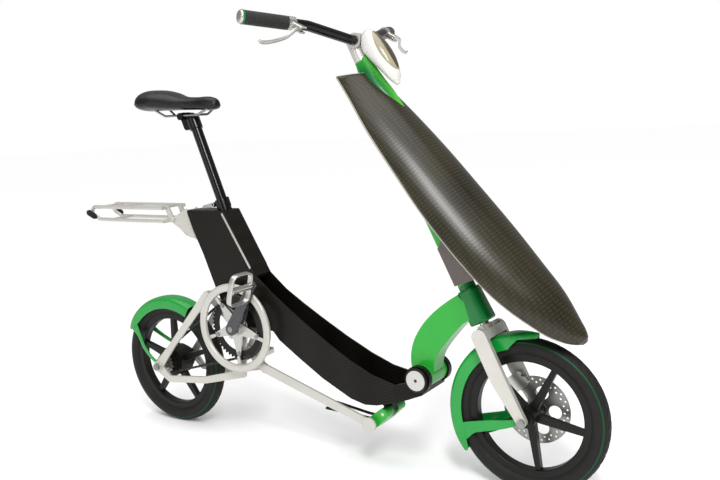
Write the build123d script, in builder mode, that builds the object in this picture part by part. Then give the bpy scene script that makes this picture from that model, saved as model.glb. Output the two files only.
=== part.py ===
from build123d import *
import os
from math import cos, hypot, pi, radians, sin, sqrt

os.makedirs("parts", exist_ok=True)

# A folding bicycle in millimetres.  X points forward, Y to the rider's left, Z up, and the
# ground is Z = 0.  Side-view places are given as (x, z), with x measured from the rear axle.

# ---------------------------------------------------------------- driving dimensions
tyre_radius = 200.0          # 16 x 1.75 tyre
tyre_section = 47.0
wheelbase = 1215.0
rack_overhang = 300.0        # rear axle to the tail of the carrier
grip_span = 347.0            # bicycle centre plane to the end of a grip
clear = 0.3                  # air between pieces that pass each other
running = 0.05               # radial clearance of a shaft in its bore

rear_x = (rack_overhang - wheelbase - tyre_radius) / 2   # puts the bounding box on the origin

# drive
bracket = (320.0, 352.0)     # bottom bracket, which the swingarm also turns about
crank_length = 165.0
crank_angle = 56.5           # right crank above the forward direction
ring_teeth = 48
sprocket_teeth = 16
chain_pitch = 12.7
chain_line = 51.5
guard_radius = 135.0
guard_section = (24.0, 13.0)

# main frame
box_top = 698.0              # height of the seat box's flat top
box_half = 36.0              # half the seat box's width
wall = 5.0
hinge = (932.0, 272.0)       # main folding hinge
hinge_half = 64.0            # half the frame's width at the hinge
hinge_pin_radius = 8.0

# seat
seat_lean = 20.5             # seatpost behind the vertical
post_radius = 16.0
post_foot = (258.0, box_top)  # where the post's axis leaves the seat box
post_up = 290.0              # length of post above the box
post_down = 110.0            # length of post inside the box when it is up
seat_travel = 200.0

# swingarm
bridge = (203.0, 440.0)      # cross tube that rests against the seat box
arm_plate = (39.0, 45.0)     # the pivot plates' faces, from the centre plane
axle_half = 84.0             # centre plane to the dropout's outer face
stay_half = 10.5
arm_foot = (318.0, 205.0)    # front end of the lower stay

# stand linkage, a parallelogram with the swingarm
stand_pivot = (812.0, 155.0)
stand_throw = (-35.0, -30.0)  # from the pivot to the strut's pin, and from the bracket too
strut_bend = (398.0, 229.0)

# front frame and steering
head_lean = 26.0             # steering axis behind the vertical
axis_base = (1108.5, 400.0)  # a point of the steering axis
head_low = 30.0              # distances along the steering axis, up from axis_base
head_high = 136.0
column_high = 772.0
bar_level = 826.0
steerer_radius = 12.7
bar_radius = 13.0
column_depth = 27.0
column_half = 24.0
arc_half = 28.0

# fork and brakes
leg_face = (50.0, 64.0)
disc_radius = 88.0
disc_level = 42.0

# shell
shell_lean = 42.5
shell_wall = 4.0
shell_top_tilt = -12.0


# ---------------------------------------------------------------- helpers
def side_plane(y=0.0):
    """Side view: sketch x and y are the (x, z) of this file, and extruding goes towards -Y."""
    return Plane(origin=(rear_x, y, 0), x_dir=(1, 0, 0), z_dir=(0, -1, 0))


def place(x, z, y=0.0):
    """World position of a side-view point."""
    return Vector(rear_x + x, y, z)


def add_points(p, q):
    return (p[0] + q[0], p[1] + q[1])


def polar(centre, radius, angle):
    """Side-view point at an angle above the forward direction."""
    return (centre[0] + radius * cos(radians(angle)), centre[1] + radius * sin(radians(angle)))


def axis_dir():
    return Vector(-sin(radians(head_lean)), 0, cos(radians(head_lean)))


def steer_plane(level):
    """Plane across the steering axis, level mm up from its base; sketch x is forward."""
    origin = place(*axis_base) + axis_dir() * level
    return Plane(origin=origin, x_dir=(cos(radians(head_lean)), 0, sin(radians(head_lean))), z_dir=axis_dir())


def steer_point(level, ahead=0.0):
    """Side-view point on the steering axis, or ahead of it."""
    a = radians(head_lean)
    return (axis_base[0] - level * sin(a) + ahead * cos(a), axis_base[1] + level * cos(a) + ahead * sin(a))


def seat_dir():
    return Vector(-sin(radians(seat_lean)), 0, cos(radians(seat_lean)))


def seat_plane(level):
    """Plane across the seatpost's axis, level mm above the seat box."""
    origin = place(*post_foot) + seat_dir() * level
    return Plane(origin=origin, x_dir=(cos(radians(seat_lean)), 0, sin(radians(seat_lean))), z_dir=seat_dir())


def seat_point(level, ahead=0.0):
    a = radians(seat_lean)
    return (post_foot[0] - level * sin(a) + ahead * cos(a), post_foot[1] + level * cos(a) + ahead * sin(a))


def cross_bar(centre, radius, y_low, y_high, mode=Mode.ADD):
    """A round bar along Y between two levels, in the part that is being built."""
    with BuildSketch(side_plane(y_high)) as section:
        with Locations(centre):
            Circle(radius)
    extrude(section.sketch, amount=y_high - y_low, mode=mode)


def flat_bar(ends, radii, y_low, y_high, mode=Mode.ADD):
    """A tapering bar with round ends, cut from plate and lying in the side view."""
    for (p, q), (r, s) in zip(zip(ends, ends[1:]), zip(radii, radii[1:])):
        with BuildSketch(side_plane(y_high)) as section:
            with Locations(p):
                Circle(r)
            with Locations(q):
                Circle(s)
            make_hull()
        extrude(section.sketch, amount=y_high - y_low, mode=mode)


def rod(points, radius, bend=None, mode=Mode.ADD):
    """A round rod through world points, with an arc of radius bend at each corner."""
    with BuildLine() as route:
        if bend:
            FilletPolyline(*points, radius=bend)
        else:
            Polyline(*points)
    with BuildSketch(Plane(origin=route.wire() @ 0, z_dir=route.wire() % 0)) as section:
        Circle(radius)
    sweep(section.sketch, path=route.wire(), mode=mode)


def save(piece, name):
    piece.part.label = name
    export_step(piece.part, "parts/" + name + ".step")


rear_hub_at = (0.0, tyre_radius)
front_hub_at = (wheelbase, tyre_radius)
ring_pitch_radius = chain_pitch / (2 * sin(pi / ring_teeth))
sprocket_pitch_radius = chain_pitch / (2 * sin(pi / sprocket_teeth))

# ---------------------------------------------------------------- main frame
frame_outline = [
    (131, box_top), (281, box_top), (388, 508), (442, 462), (502, 421), (565, 381), (645, 333),
    (722, 292), (790, 263), (860, 247), (900, 240), (948, 246), (944, 231), (899, 212), (854, 196),
    (800, 181), (761, 177), (714, 187), (618, 230), (535, 278), (463, 322), (440, 347), (352, 352),
    (320, 320), (288, 344), (262, 396), (229, 461), (187, 567), (155, 633),
]
frame_cavity = [
    (140, box_top - wall), (274, box_top - wall), (383, 500), (389, 512), (880, 300), (888, 262),
    (868, 225), (845, 199), (798, 186), (763, 183), (717, 193), (621, 236), (538, 284), (466, 328),
    (443, 353), (365, 372), (290, 372), (236, 461), (193, 567),
]
frame_halves = [(100, box_half), (450, box_half), (556, 43), (697, 52), (859, 61), (960, hinge_half)]


def plan_sketch(inset):
    """Plan view of the frame between its two walls, inset from the outer faces."""
    right = [(rear_x + x, half - inset) for x, half in frame_halves]
    left = [(x, -y) for x, y in reversed(right)]
    with BuildSketch(Plane.XY) as plan:
        with BuildLine():
            Polyline(*right, *left, close=True)
        make_face()
    return plan.sketch


def frame_block(outline, inset):
    """The space under a side outline and inside the plan outline, as a part."""
    with BuildPart() as block:
        with BuildSketch(side_plane()):
            with BuildLine():
                Polyline(*outline, close=True)
            make_face()
        extrude(amount=hinge_half + 1, both=True)
        extrude(plan_sketch(inset), amount=box_top * 2, mode=Mode.INTERSECT)
    return block.part


ear_radius = 36.0
ear_inner = 47.5
barrel_radius = 31.0
seat_tube_low = -(post_down + seat_travel + 12)
outer_block = frame_block(frame_outline, 0)
inner_block = frame_block(frame_cavity, wall)
with BuildPart() as main_frame:
    add(outer_block)
    fillet(main_frame.edges().filter_by(Axis.Y).group_by(Axis.Z)[-1], 6)
    add(inner_block, mode=Mode.SUBTRACT)
    cross_bar(bracket, 32.0, -box_half, box_half)
    for y in (ear_inner, -hinge_half):
        cross_bar(hinge, ear_radius, y, y + hinge_half - ear_inner)
        flat_bar([(870, 235), (920, 246)], (14, 16), y, y + hinge_half - ear_inner)
    with BuildSketch(seat_plane(seat_tube_low)):
        Circle(post_radius + 3.5)
    extrude(amount=-seat_tube_low - 8)
    flat_bar([(800, 185), stand_pivot], (18, 12), -11, 11)
    with BuildSketch(seat_plane(seat_tube_low - 5)):
        Circle(post_radius + running)
    extrude(amount=-seat_tube_low + 30, mode=Mode.SUBTRACT)
    cross_bar(bracket, 20.0, -box_half - 1, box_half + 1, Mode.SUBTRACT)
    cross_bar(hinge, barrel_radius + 1.5, -ear_inner, ear_inner, Mode.SUBTRACT)
    cross_bar(hinge, hinge_pin_radius + running, -80, 80, Mode.SUBTRACT)
    cross_bar(stand_pivot, 5 + running, -20, 20, Mode.SUBTRACT)
save(main_frame, "main_frame")

# bright strips let into the seat box's front corners
with BuildPart() as frame_strips:
    for y in (-box_half - 1.6 - clear, box_half + clear):
        flat_bar([(277, 688), (370, 532)], (3.5, 3.5), y, y + 1.6)
save(frame_strips, "frame_strips")

# ---------------------------------------------------------------- bottom bracket
with BuildPart() as bb_shell:
    cross_bar(bracket, 20.0 - running, -arm_plate[1] - 1, arm_plate[1] + 1)
    cross_bar(bracket, 16.0, -60, 60, Mode.SUBTRACT)
save(bb_shell, "bb_shell")

with BuildPart() as bb_bearings:
    for y in (-arm_plate[1], arm_plate[1] - 10):
        cross_bar(bracket, 16.0 - running, y, y + 10)
    cross_bar(bracket, 8.5 + running, -60, 60, Mode.SUBTRACT)
save(bb_bearings, "bb_bearings")

crank_inner = 75.0
crank_outer = 87.0
pedal_pin = 7.0
pedal_length = 84.0
crank_ends = {"right": polar(bracket, crank_length, crank_angle),
              "left": polar(bracket, crank_length, crank_angle + 180)}
side_of = {"right": -1, "left": 1}

with BuildPart() as bb_axle:
    cross_bar(bracket, 8.5, -crank_outer - 1, crank_outer + 1)
save(bb_axle, "bb_axle")

for name, side in side_of.items():
    low, high = sorted((side * crank_inner, side * crank_outer))
    with BuildPart() as crank:
        flat_bar([bracket, crank_ends[name]], (19, 13), low, high)
        fillet(crank.edges().filter_by(GeomType.LINE), 3)
        cross_bar(bracket, 8.5 + running, -100, 100, Mode.SUBTRACT)
        cross_bar(crank_ends[name], pedal_pin + running, -100, 100, Mode.SUBTRACT)
    save(crank, "crank_" + name)

pedal_start = crank_outer + 5
with BuildPart() as pedal_axles:
    for name, side in side_of.items():
        low, high = sorted((side * crank_inner, side * (pedal_start + pedal_length - 4)))
        cross_bar(crank_ends[name], pedal_pin, low, high)
        low, high = sorted((side * (crank_outer + clear), side * (pedal_start - clear)))
        cross_bar(crank_ends[name], 10, low, high)
save(pedal_axles, "pedal_axles")

pedal_tilt = {"right": 75, "left": 4}
pedal_size = (92.0, 24.0)
for name, side in side_of.items():
    low, high = sorted((side * pedal_start, side * (pedal_start + pedal_length)))
    end = crank_ends[name]
    frame = Plane(origin=place(*end, high), x_dir=(cos(radians(pedal_tilt[name])), 0, sin(radians(pedal_tilt[name]))),
                  z_dir=(0, -1, 0))
    with BuildPart() as pedal:
        with BuildSketch(frame):
            RectangleRounded(*pedal_size, 6)
        extrude(amount=pedal_length)
        for x in (-1, 1):
            with BuildSketch(frame.offset(6)):
                with Locations((x * (pedal_size[0] / 4 + 2), 0)):
                    Rectangle(pedal_size[0] / 2 - 18, pedal_size[1] + 2)
            extrude(amount=pedal_length - 12, mode=Mode.SUBTRACT)
        cross_bar(end, pedal_pin + running, -300, 300, Mode.SUBTRACT)
    save(pedal, "pedal_" + name)

# ---------------------------------------------------------------- chainwheel
bolt_circle = 79.0
arm_count = 5
spider_faces = (54.6, 60.0)
ring_thickness = 2.6


def toothed_ring(centre, teeth, tip, root, inner, y_low, y_high):
    """A sprocket: teeth as a polygon between the root and tip radii, with a round hole."""
    points = []
    for i in range(teeth):
        for share, radius in ((0.0, root), (0.25, root), (0.45, tip), (0.8, tip)):
            points.append(polar(centre, radius, 360 * (i + share) / teeth))
    with BuildSketch(side_plane(y_high)) as outline:
        with BuildLine():
            Polyline(*points, close=True)
        make_face()
        with Locations(centre):
            Circle(inner, mode=Mode.SUBTRACT)
    extrude(outline.sketch, amount=y_high - y_low)


ring_tip = ring_pitch_radius + 2.2
sprocket_tip = sprocket_pitch_radius + 2.2
arm_angles = [crank_angle + 360 * i / arm_count for i in range(arm_count)]
bolt_places = [polar(bracket, bolt_circle, angle) for angle in arm_angles]
with BuildPart() as chainring:
    toothed_ring(bracket, ring_teeth, ring_tip, ring_pitch_radius - 3.5, bolt_circle - 6,
                 -chain_line - ring_thickness / 2, -chain_line + ring_thickness / 2)
    for spot in bolt_places:
        cross_bar(spot, 6.5, -chain_line - ring_thickness / 2, -chain_line + ring_thickness / 2)
    for spot in bolt_places:
        cross_bar(spot, 4 + running, -100, 0, Mode.SUBTRACT)
save(chainring, "chainring")

with BuildPart() as spider:
    for spot in bolt_places:
        flat_bar([bracket, spot], (22, 8.5), -spider_faces[1], -spider_faces[0])
    cross_bar(bracket, 24, -crank_inner + clear, -spider_faces[0])
    cross_bar(bracket, 8.5 + running, -100, 0, Mode.SUBTRACT)
    for spot in bolt_places:
        cross_bar(spot, 4 + running, -100, 0, Mode.SUBTRACT)
save(spider, "spider")

with BuildPart() as chainring_bolts:
    for spot in bolt_places:
        cross_bar(spot, 4, -spider_faces[1] - 1, -chain_line + 2)
        cross_bar(spot, 6, -spider_faces[1] - 3, -spider_faces[1] - clear)
save(chainring_bolts, "chainring_bolts")

# ring guard outside the chain, carried by the five arms
guard_inner = guard_radius - guard_section[0]
guard_low = -spider_faces[1] - clear - guard_section[1]
with BuildPart() as chain_guard:
    with BuildSketch(side_plane(-spider_faces[1] - clear)):
        with Locations(bracket):
            Circle(guard_radius)
            Circle(guard_inner, mode=Mode.SUBTRACT)
    extrude(amount=guard_section[1])
    fillet(chain_guard.edges(), 6)
    for angle in arm_angles:
        flat_bar([polar(bracket, bolt_circle + 12, angle), polar(bracket, guard_inner + 4, angle)], (5, 6),
                 -spider_faces[1] - clear - 3.5, -spider_faces[1] - clear)
save(chain_guard, "chain_guard")

chain_height = 7.0
chain_width = 7.6


def belt_sketch(gap):
    """The hull of the two chainwheels' tips, let out by a gap."""
    with BuildSketch(side_plane(-chain_line + chain_width / 2)) as hull:
        with Locations(bracket):
            Circle(ring_tip + gap)
        with Locations(rear_hub_at):
            Circle(sprocket_tip + gap)
        make_hull()
    return hull.sketch


with BuildPart() as chain:
    extrude(belt_sketch(clear + chain_height), amount=chain_width)
    extrude(belt_sketch(clear), amount=chain_width, mode=Mode.SUBTRACT)
save(chain, "chain")

with BuildPart() as sprocket:
    toothed_ring(rear_hub_at, sprocket_teeth, sprocket_tip, sprocket_pitch_radius - 3.5, 22,
                 -chain_line - ring_thickness / 2, -chain_line + ring_thickness / 2)
    cross_bar(rear_hub_at, 24, -chain_line - 4, -chain_line + 4)
    cross_bar(rear_hub_at, 14 + running, -100, 0, Mode.SUBTRACT)
save(sprocket, "sprocket")

# ---------------------------------------------------------------- wheels
rim_outer = tyre_radius - tyre_section + 7.8
rim_inner = 139.0
rim_half = 15.0
spoke_count = 5


def wheel_rim(hub_at, hub_radius, hub_half, bore, turn):
    """A cast wheel: channel rim, five tapering spokes and the hub barrel."""
    with BuildPart() as rim:
        with BuildSketch(side_plane(rim_half)):
            with Locations(hub_at):
                Circle(rim_outer)
                Circle(rim_inner, mode=Mode.SUBTRACT)
        extrude(amount=2 * rim_half)
        fillet(rim.edges().filter_by(GeomType.CIRCLE), 4)
        for i in range(spoke_count):
            angle = turn + 360 * i / spoke_count
            flat_bar([polar(hub_at, hub_radius, angle), polar(hub_at, rim_inner + 2, angle)], (11, 7), -8, 8)
        cross_bar(hub_at, hub_radius + 4, -hub_half + 6, hub_half - 6)
        cross_bar(hub_at, hub_radius, -hub_half, hub_half)
        cross_bar(hub_at, bore, -100, 100, Mode.SUBTRACT)
    return rim


def wheel_tyre(hub_at):
    with BuildPart() as tyre:
        with BuildSketch(Plane(origin=place(*hub_at), x_dir=(1, 0, 0), z_dir=(0, 0, 1))):
            with Locations((tyre_radius - tyre_section / 2, 0)):
                Circle(tyre_section / 2)
            with Locations((rim_outer / 2 + 0.1, 0)):
                Rectangle(rim_outer + 0.2, tyre_section, mode=Mode.SUBTRACT)
        revolve(axis=Axis(place(*hub_at), (0, 1, 0)))
    return tyre


gear_radius = 38.0
gear_half = 44.0
rear_axle_radius = 6.0
rear_rim = wheel_rim(rear_hub_at, gear_radius + 6, 34.0, gear_radius + running, 18)
save(rear_rim, "rear_rim")
rear_tyre = wheel_tyre(rear_hub_at)
save(rear_tyre, "rear_tyre")

with BuildPart() as rear_hub:
    cross_bar(rear_hub_at, gear_radius, -gear_half, gear_half)
    cross_bar(rear_hub_at, 28, -gear_half - 3, gear_half + 14)
    fillet(rear_hub.edges().filter_by(GeomType.CIRCLE).group_by(Axis.Y)[0], 1)
    cross_bar(rear_hub_at, rear_axle_radius + running, -100, 100, Mode.SUBTRACT)
save(rear_hub, "rear_hub")

dropout_face = axle_half + 2.5
sprocket_seat = (gear_half + 3 + clear, axle_half - 14)
with BuildPart() as rear_axle:
    cross_bar(rear_hub_at, rear_axle_radius, -axle_half - 12, axle_half + 12)
    cross_bar(rear_hub_at, 14, -sprocket_seat[1], -sprocket_seat[0])
    for side in (-1, 1):
        low, high = sorted((side * (dropout_face + clear), side * (dropout_face + 8)))
        cross_bar(rear_hub_at, 11, low, high)
save(rear_axle, "rear_axle")

front_axle_radius = 6.0
front_rim = wheel_rim(front_hub_at, 20.0, 38.0, front_axle_radius + running, -10)
save(front_rim, "front_rim")
front_tyre = wheel_tyre(front_hub_at)
save(front_tyre, "front_tyre")

with BuildPart() as front_axle:
    cross_bar(front_hub_at, front_axle_radius, -leg_face[1] - 8, leg_face[1] + 8)
    for side in (-1, 1):
        low, high = sorted((side * (leg_face[1] + clear), side * (leg_face[1] + 7)))
        cross_bar(front_hub_at, 10, low, high)
save(front_axle, "front_axle")

with BuildPart() as brake_disc:
    cross_bar(front_hub_at, disc_radius, disc_level, disc_level + 2)
    for i in range(spoke_count):
        angle = 360 * i / spoke_count
        with BuildSketch(side_plane(disc_level + 3)) as window:
            with Locations(polar(front_hub_at, 48, angle)):
                Circle(17)
        extrude(window.sketch, amount=5, mode=Mode.SUBTRACT)
    for ring, radius in enumerate((72, 80)):
        for i in range(24):
            cross_bar(polar(front_hub_at, radius, 15 * i + 7.5 * ring), 2.6, disc_level - 1, disc_level + 3,
                      Mode.SUBTRACT)
    cross_bar(front_hub_at, 26, 38 + clear, disc_level + 2)
    cross_bar(front_hub_at, front_axle_radius + running, -100, 100, Mode.SUBTRACT)
save(brake_disc, "brake_disc")

# ---------------------------------------------------------------- swingarm
arm_middle = (arm_plate[0] + arm_plate[1]) / 2
bridge_y = 52.0


def stay(points, radii, end_y, side):
    """A plate stay that leans inwards from the dropout to its front end, end_y off the centre."""
    lean = (axle_half - 4 - end_y) / points[-1][0]
    heading = Vector(1, -side * lean, 0).normalized()
    across = Vector(0, 0, 1).cross(heading) * -1
    face = Plane(origin=place(0, 0, side * (axle_half - 4)), x_dir=heading, z_dir=across)
    stretch = sqrt(1 + lean * lean)
    for (p, q), (r, s) in zip(zip(points, points[1:]), zip(radii, radii[1:])):
        with BuildSketch(face) as section:
            with Locations((p[0] * stretch, p[1])):
                Circle(r)
            with Locations((q[0] * stretch, q[1])):
                Circle(s)
            make_hull()
        extrude(section.sketch, amount=4, both=True)


with BuildPart() as swingarm:
    for side in (-1, 1):
        low, high = sorted((side * arm_plate[0], side * arm_plate[1]))
        flat_bar([bridge, bracket, arm_foot], (13, 27, 13), low, high)
        stay([rear_hub_at, (60, 272), bridge], (15, 10, 13), bridge_y, side)
        stay([rear_hub_at, (42, 163), (180, 172), arm_foot], (15, 10, stay_half, 12), arm_middle, side)
        low, high = sorted((side * (axle_half - 8), side * dropout_face))
        cross_bar(rear_hub_at, 17, low, high)
    cross_bar(bridge, 11, -bridge_y, bridge_y)
    strut_eye = add_points(bracket, stand_throw)
    flat_bar([bracket, strut_eye], (27, 12), -arm_plate[1], -arm_plate[0])
    cross_bar(strut_eye, 5, -arm_plate[1], -29.5)
    cross_bar(bracket, 20 + running, -100, 100, Mode.SUBTRACT)
    cross_bar(rear_hub_at, rear_axle_radius + running, -100, 100, Mode.SUBTRACT)
    with Locations(place(*arm_foot)):       # keeps the lower stays outside the frame when folded
        Box(80, 2 * arm_plate[0], 60, mode=Mode.SUBTRACT)
save(swingarm, "swingarm")

# rubber stop between the swingarm's cross tube and the seat box's rear face
stop_angle = 21.6
with BuildPart() as swing_bumper:
    with BuildSketch(Plane(origin=place(*bridge, 18), x_dir=(cos(radians(stop_angle)), 0, sin(radians(stop_angle))),
                           z_dir=(0, -1, 0))):
        with Locations((18, 0)):
            RectangleRounded(24, 20, 3)
    extrude(amount=36)
    cross_bar(bridge, 11 + clear, -40, 40, Mode.SUBTRACT)
    add(outer_block, mode=Mode.SUBTRACT)
save(swing_bumper, "swing_bumper")


def mudguard(hub_at, start, end):
    """A crowned guard with side skirts, turned about the wheel's axle between two angles."""
    ahead = Vector(cos(radians(start)), 0, sin(radians(start)))
    crown = tyre_radius + guard_gap
    inside = guard_half - guard_thick
    with BuildSketch(Plane(origin=place(*hub_at), x_dir=ahead, z_dir=ahead.cross(Vector(0, 1, 0)))) as section:
        with BuildLine():
            ThreePointArc((crown - 8, -guard_half), (crown + guard_thick, 0), (crown - 8, guard_half))
            Polyline((crown - 8, guard_half), (skirt_radius, guard_half), (skirt_radius, inside), (crown - 8, inside))
            ThreePointArc((crown - 8, inside), (crown, 0), (crown - 8, -inside))
            Polyline((crown - 8, -inside), (skirt_radius, -inside), (skirt_radius, -guard_half),
                     (crown - 8, -guard_half))
        make_face()
    revolve(section.sketch, axis=Axis(place(*hub_at), (0, -1, 0)), revolution_arc=end - start)


guard_gap = 9.0
guard_half = 29.0
guard_thick = 2.5
skirt_radius = 176.0
with BuildPart() as rear_mudguard:
    mudguard(rear_hub_at, 62, 152)
    for side in (-1, 1):
        low, high = sorted((side * (guard_half - 2), side * (guard_half + 2)))
        joint = polar(rear_hub_at, 60, 150)
        flat_bar([polar(rear_hub_at, skirt_radius + 8, 144), joint], (13, 8), low, high)
        low, high = sorted((side * (guard_half - 2), side * (axle_half - 8 - clear)))
        cross_bar(joint, 6, low, high)
        low, high = sorted((side * (axle_half - 12 - clear), side * (axle_half - 8 - clear)))
        flat_bar([joint, polar(rear_hub_at, 14, 150)], (6, 6), low, high)
save(rear_mudguard, "rear_mudguard")

# ---------------------------------------------------------------- stand and its strut
stand_pin = add_points(stand_pivot, stand_throw)
strut_rear = (-36.5, -29.5)      # the strut's faces along its rear length
strut_front = (-61.0, -52.0)     # and at the stand's pin
strut_middle = sum(strut_rear) / 2
strut_swerve = sum(strut_front) / 2 - strut_middle
with BuildPart() as strut:
    flat_bar([strut_eye, strut_bend], (11, 14), *strut_rear)
    heading = Vector(stand_pin[0] - strut_bend[0], strut_swerve, 0)
    stretch = heading.length / heading.X
    lean_plane = Plane(origin=place(strut_bend[0], 0, strut_middle), x_dir=heading, z_dir=heading.cross(Vector(0, 0, 1)))
    with BuildSketch(lean_plane) as section:
        with Locations((0, strut_bend[1])):
            Circle(14)
        with Locations(((stand_pin[0] - strut_bend[0]) * stretch, stand_pin[1])):
            Circle(12)
        make_hull()
    extrude(section.sketch, amount=3.5, both=True)
    cross_bar(strut_bend, 15, strut_rear[0] - 1, strut_rear[1] + 1)
    cross_bar(stand_pin, 14, *strut_front)
    cross_bar(stand_pin, 6 + running, -100, 0, Mode.SUBTRACT)
    cross_bar(strut_eye, 5 + running, -100, 0, Mode.SUBTRACT)
save(strut, "strut")

with BuildPart() as stand_crank:
    flat_bar([stand_pivot, stand_pin], (15, 17), -50, 50)
    flat_bar([stand_pivot, polar(stand_pivot, 12, 40)], (20, 20), -12, 12, Mode.SUBTRACT)
    cross_bar(stand_pivot, 5 + running, -100, 100, Mode.SUBTRACT)
    cross_bar(stand_pin, 6 + running, -100, 100, Mode.SUBTRACT)
save(stand_crank, "stand_crank")

with BuildPart() as stand_pins:
    cross_bar(stand_pivot, 5, -49.5, 49.5)
    cross_bar(stand_pin, 6, -66, 57)
    cross_bar(stand_pin, 21, -67, -61 - clear)
    cross_bar(stand_pin, 16, 50 + clear, 58)
save(stand_pins, "stand_pins")


leg_root = add_points(stand_pin, (-17 - clear, -2))
leg_reach = 150.0
with BuildPart() as stand_legs:
    for side in (-1, 1):
        rod([place(*leg_root, side * 15), place(leg_root[0] - 32, leg_root[1] + 2, side * 15),
             place(leg_root[0] - leg_reach, leg_root[1] + 13, side * 27)], 4.0, 40)
save(stand_legs, "stand_legs")

# ---------------------------------------------------------------- front frame
arc_outside = [(1037, 497), (980, 457), (935, 412), (903, 356), (899, 285)]
arc_inside = [(1113, 427), (1068, 433), (1028, 400), (990, 355), (967, 317), (964, 285)]


def round_bar(base, low, high, radius_low, radius_high):
    """A cone about the steering axis between two levels."""
    with BuildSketch(steer_plane(low)) as start:
        Circle(radius_low)
    with BuildSketch(steer_plane(high)) as finish:
        Circle(radius_high)
    loft([start.sketch.face(), finish.sketch.face()])


with BuildPart() as head_tube:
    round_bar(axis_base, head_low, head_high, 27.0, 22.0)
    with BuildSketch(steer_plane(head_low - 1)) as bore:
        Circle(17)
    extrude(bore.sketch, amount=head_high + 2, mode=Mode.SUBTRACT)
save(head_tube, "head_tube")

with BuildPart() as front_arc:
    with BuildSketch(side_plane()):
        with BuildLine():
            outer_line = Spline(*arc_outside)
            inner_line = Spline(*arc_inside)
            Line(outer_line @ 0, inner_line @ 0)
            Line(outer_line @ 1, inner_line @ 1)
        make_face()
    extrude(amount=arc_half, both=True)
    fillet(front_arc.edges().filter_by(Axis.Y), 2)
    cross_bar(hinge, barrel_radius, -ear_inner + clear, ear_inner - clear)
    with BuildSketch(steer_plane(head_low - 40)):
        Circle(27.4)
    extrude(amount=head_high + 40, mode=Mode.SUBTRACT)
    with BuildSketch(steer_plane(head_low - 60)):
        with Locations((30, 0)):
            Rectangle(60, 120)
    extrude(amount=head_high + 80, mode=Mode.SUBTRACT)
    cross_bar(hinge, hinge_pin_radius + running, -100, 100, Mode.SUBTRACT)
save(front_arc, "front_arc")

with BuildPart() as hinge_pin:
    cross_bar(hinge, hinge_pin_radius, -hinge_half - 9, hinge_half + 14)
    cross_bar(hinge, 27, -hinge_half - 10, -hinge_half - clear)
    cross_bar(hinge, 20, hinge_half + clear, hinge_half + 12)
save(hinge_pin, "hinge_pin")

with BuildPart() as column:
    with BuildSketch(steer_plane(head_high + clear)) as low_end:
        Ellipse(22, 22)
    with BuildSketch(steer_plane(head_high + 90)) as middle:
        Ellipse(column_depth, column_half)
    with BuildSketch(steer_plane(column_high - 60)) as upper:
        Ellipse(column_depth, column_half)
    with BuildSketch(steer_plane(column_high)) as high_end:
        Ellipse(18, 17.5)
    loft([item.sketch.face() for item in (low_end, middle, upper, high_end)], ruled=True)
    with BuildSketch(steer_plane(head_high)) as bore:
        Circle(14.5)
    extrude(bore.sketch, amount=column_high, mode=Mode.SUBTRACT)
save(column, "column")

with BuildPart() as headset_bearings:
    for level in (head_low + clear, head_high - 12):
        with BuildSketch(steer_plane(level)):
            Circle(17 - running)
            Circle(steerer_radius + running, mode=Mode.SUBTRACT)
        extrude(amount=10)
    with BuildSketch(steer_plane(column_high - 14)):
        Circle(14.5 - running)
        Circle(steerer_radius + running, mode=Mode.SUBTRACT)
    extrude(amount=12)
save(headset_bearings, "headset_bearings")

# ---------------------------------------------------------------- shell
# Each station is (distance down the shell, height of the rim line, half width, crown height).
shell_start = (736.0, 1057.0)
shell_stations = [(-30, 0, 60, 44), (60, -5, 80, 54), (170, -15, 104, 70), (300, -26, 117, 85), (450, -39, 123, 97),
                  (590, -44, 119, 100), (690, -44, 105, 96), (785, -31, 82, 78), (855, -16, 50, 50), (897, 4, 12, 16)]
shell_along = Vector(sin(radians(shell_lean)), 0, -cos(radians(shell_lean)))
shell_out = Vector(cos(radians(shell_lean)), 0, sin(radians(shell_lean)))


def shell_section(station, drop):
    """A crescent across the shell: its outer curve crowned, its inner curve a wall behind."""
    along, rim, half, crown = station
    origin = place(*shell_start) + shell_along * along + shell_out * (rim - drop)
    face = Plane(origin=origin, x_dir=(0, 1, 0), z_dir=shell_along)
    with BuildSketch(face) as section:
        with BuildLine():
            ThreePointArc((-half + drop, 0), (0, crown), (half - drop, 0))
            Line((half - drop, 0), (-half + drop, 0))
        make_face()
    return section.sketch.face()


with BuildPart() as shell_hollow:
    loft([shell_section(station, shell_wall) for station in shell_stations])

with BuildPart() as shell:
    loft([shell_section(station, 0) for station in shell_stations])
    add(shell_hollow.part, mode=Mode.SUBTRACT)
    top_cut = Plane(origin=place(*shell_start), x_dir=(0, 1, 0), z_dir=(-sin(radians(shell_top_tilt)), 0,
                                                                        cos(radians(shell_top_tilt))))
    split(bisect_by=top_cut, keep=Keep.BOTTOM)
    with BuildSketch(steer_plane(head_high - 40)) as passage:
        Ellipse(column_depth + 0.6, column_half + 0.6)
    extrude(passage.sketch, amount=column_high + 60, mode=Mode.SUBTRACT)
save(shell, "shell")

# the bracket that joins the column to the shell, low down behind it
with BuildPart() as shell_bracket:
    with BuildSketch(side_plane()):
        with BuildLine():
            Polyline((985, 612), (1000, 640), (1082, 600), (1092, 560), (1078, 536), (1030, 518), close=True)
        make_face()
    extrude(amount=26, both=True)
    with BuildSketch(steer_plane(head_high - 60)) as passage:
        Ellipse(column_depth + clear, column_half + clear)
    extrude(passage.sketch, amount=400, mode=Mode.SUBTRACT)
    with BuildSketch(steer_plane(head_low - 20)) as socket:
        Circle(28)
    extrude(socket.sketch, amount=head_high - head_low + 20, mode=Mode.SUBTRACT)
save(shell_bracket, "shell_bracket")

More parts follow.
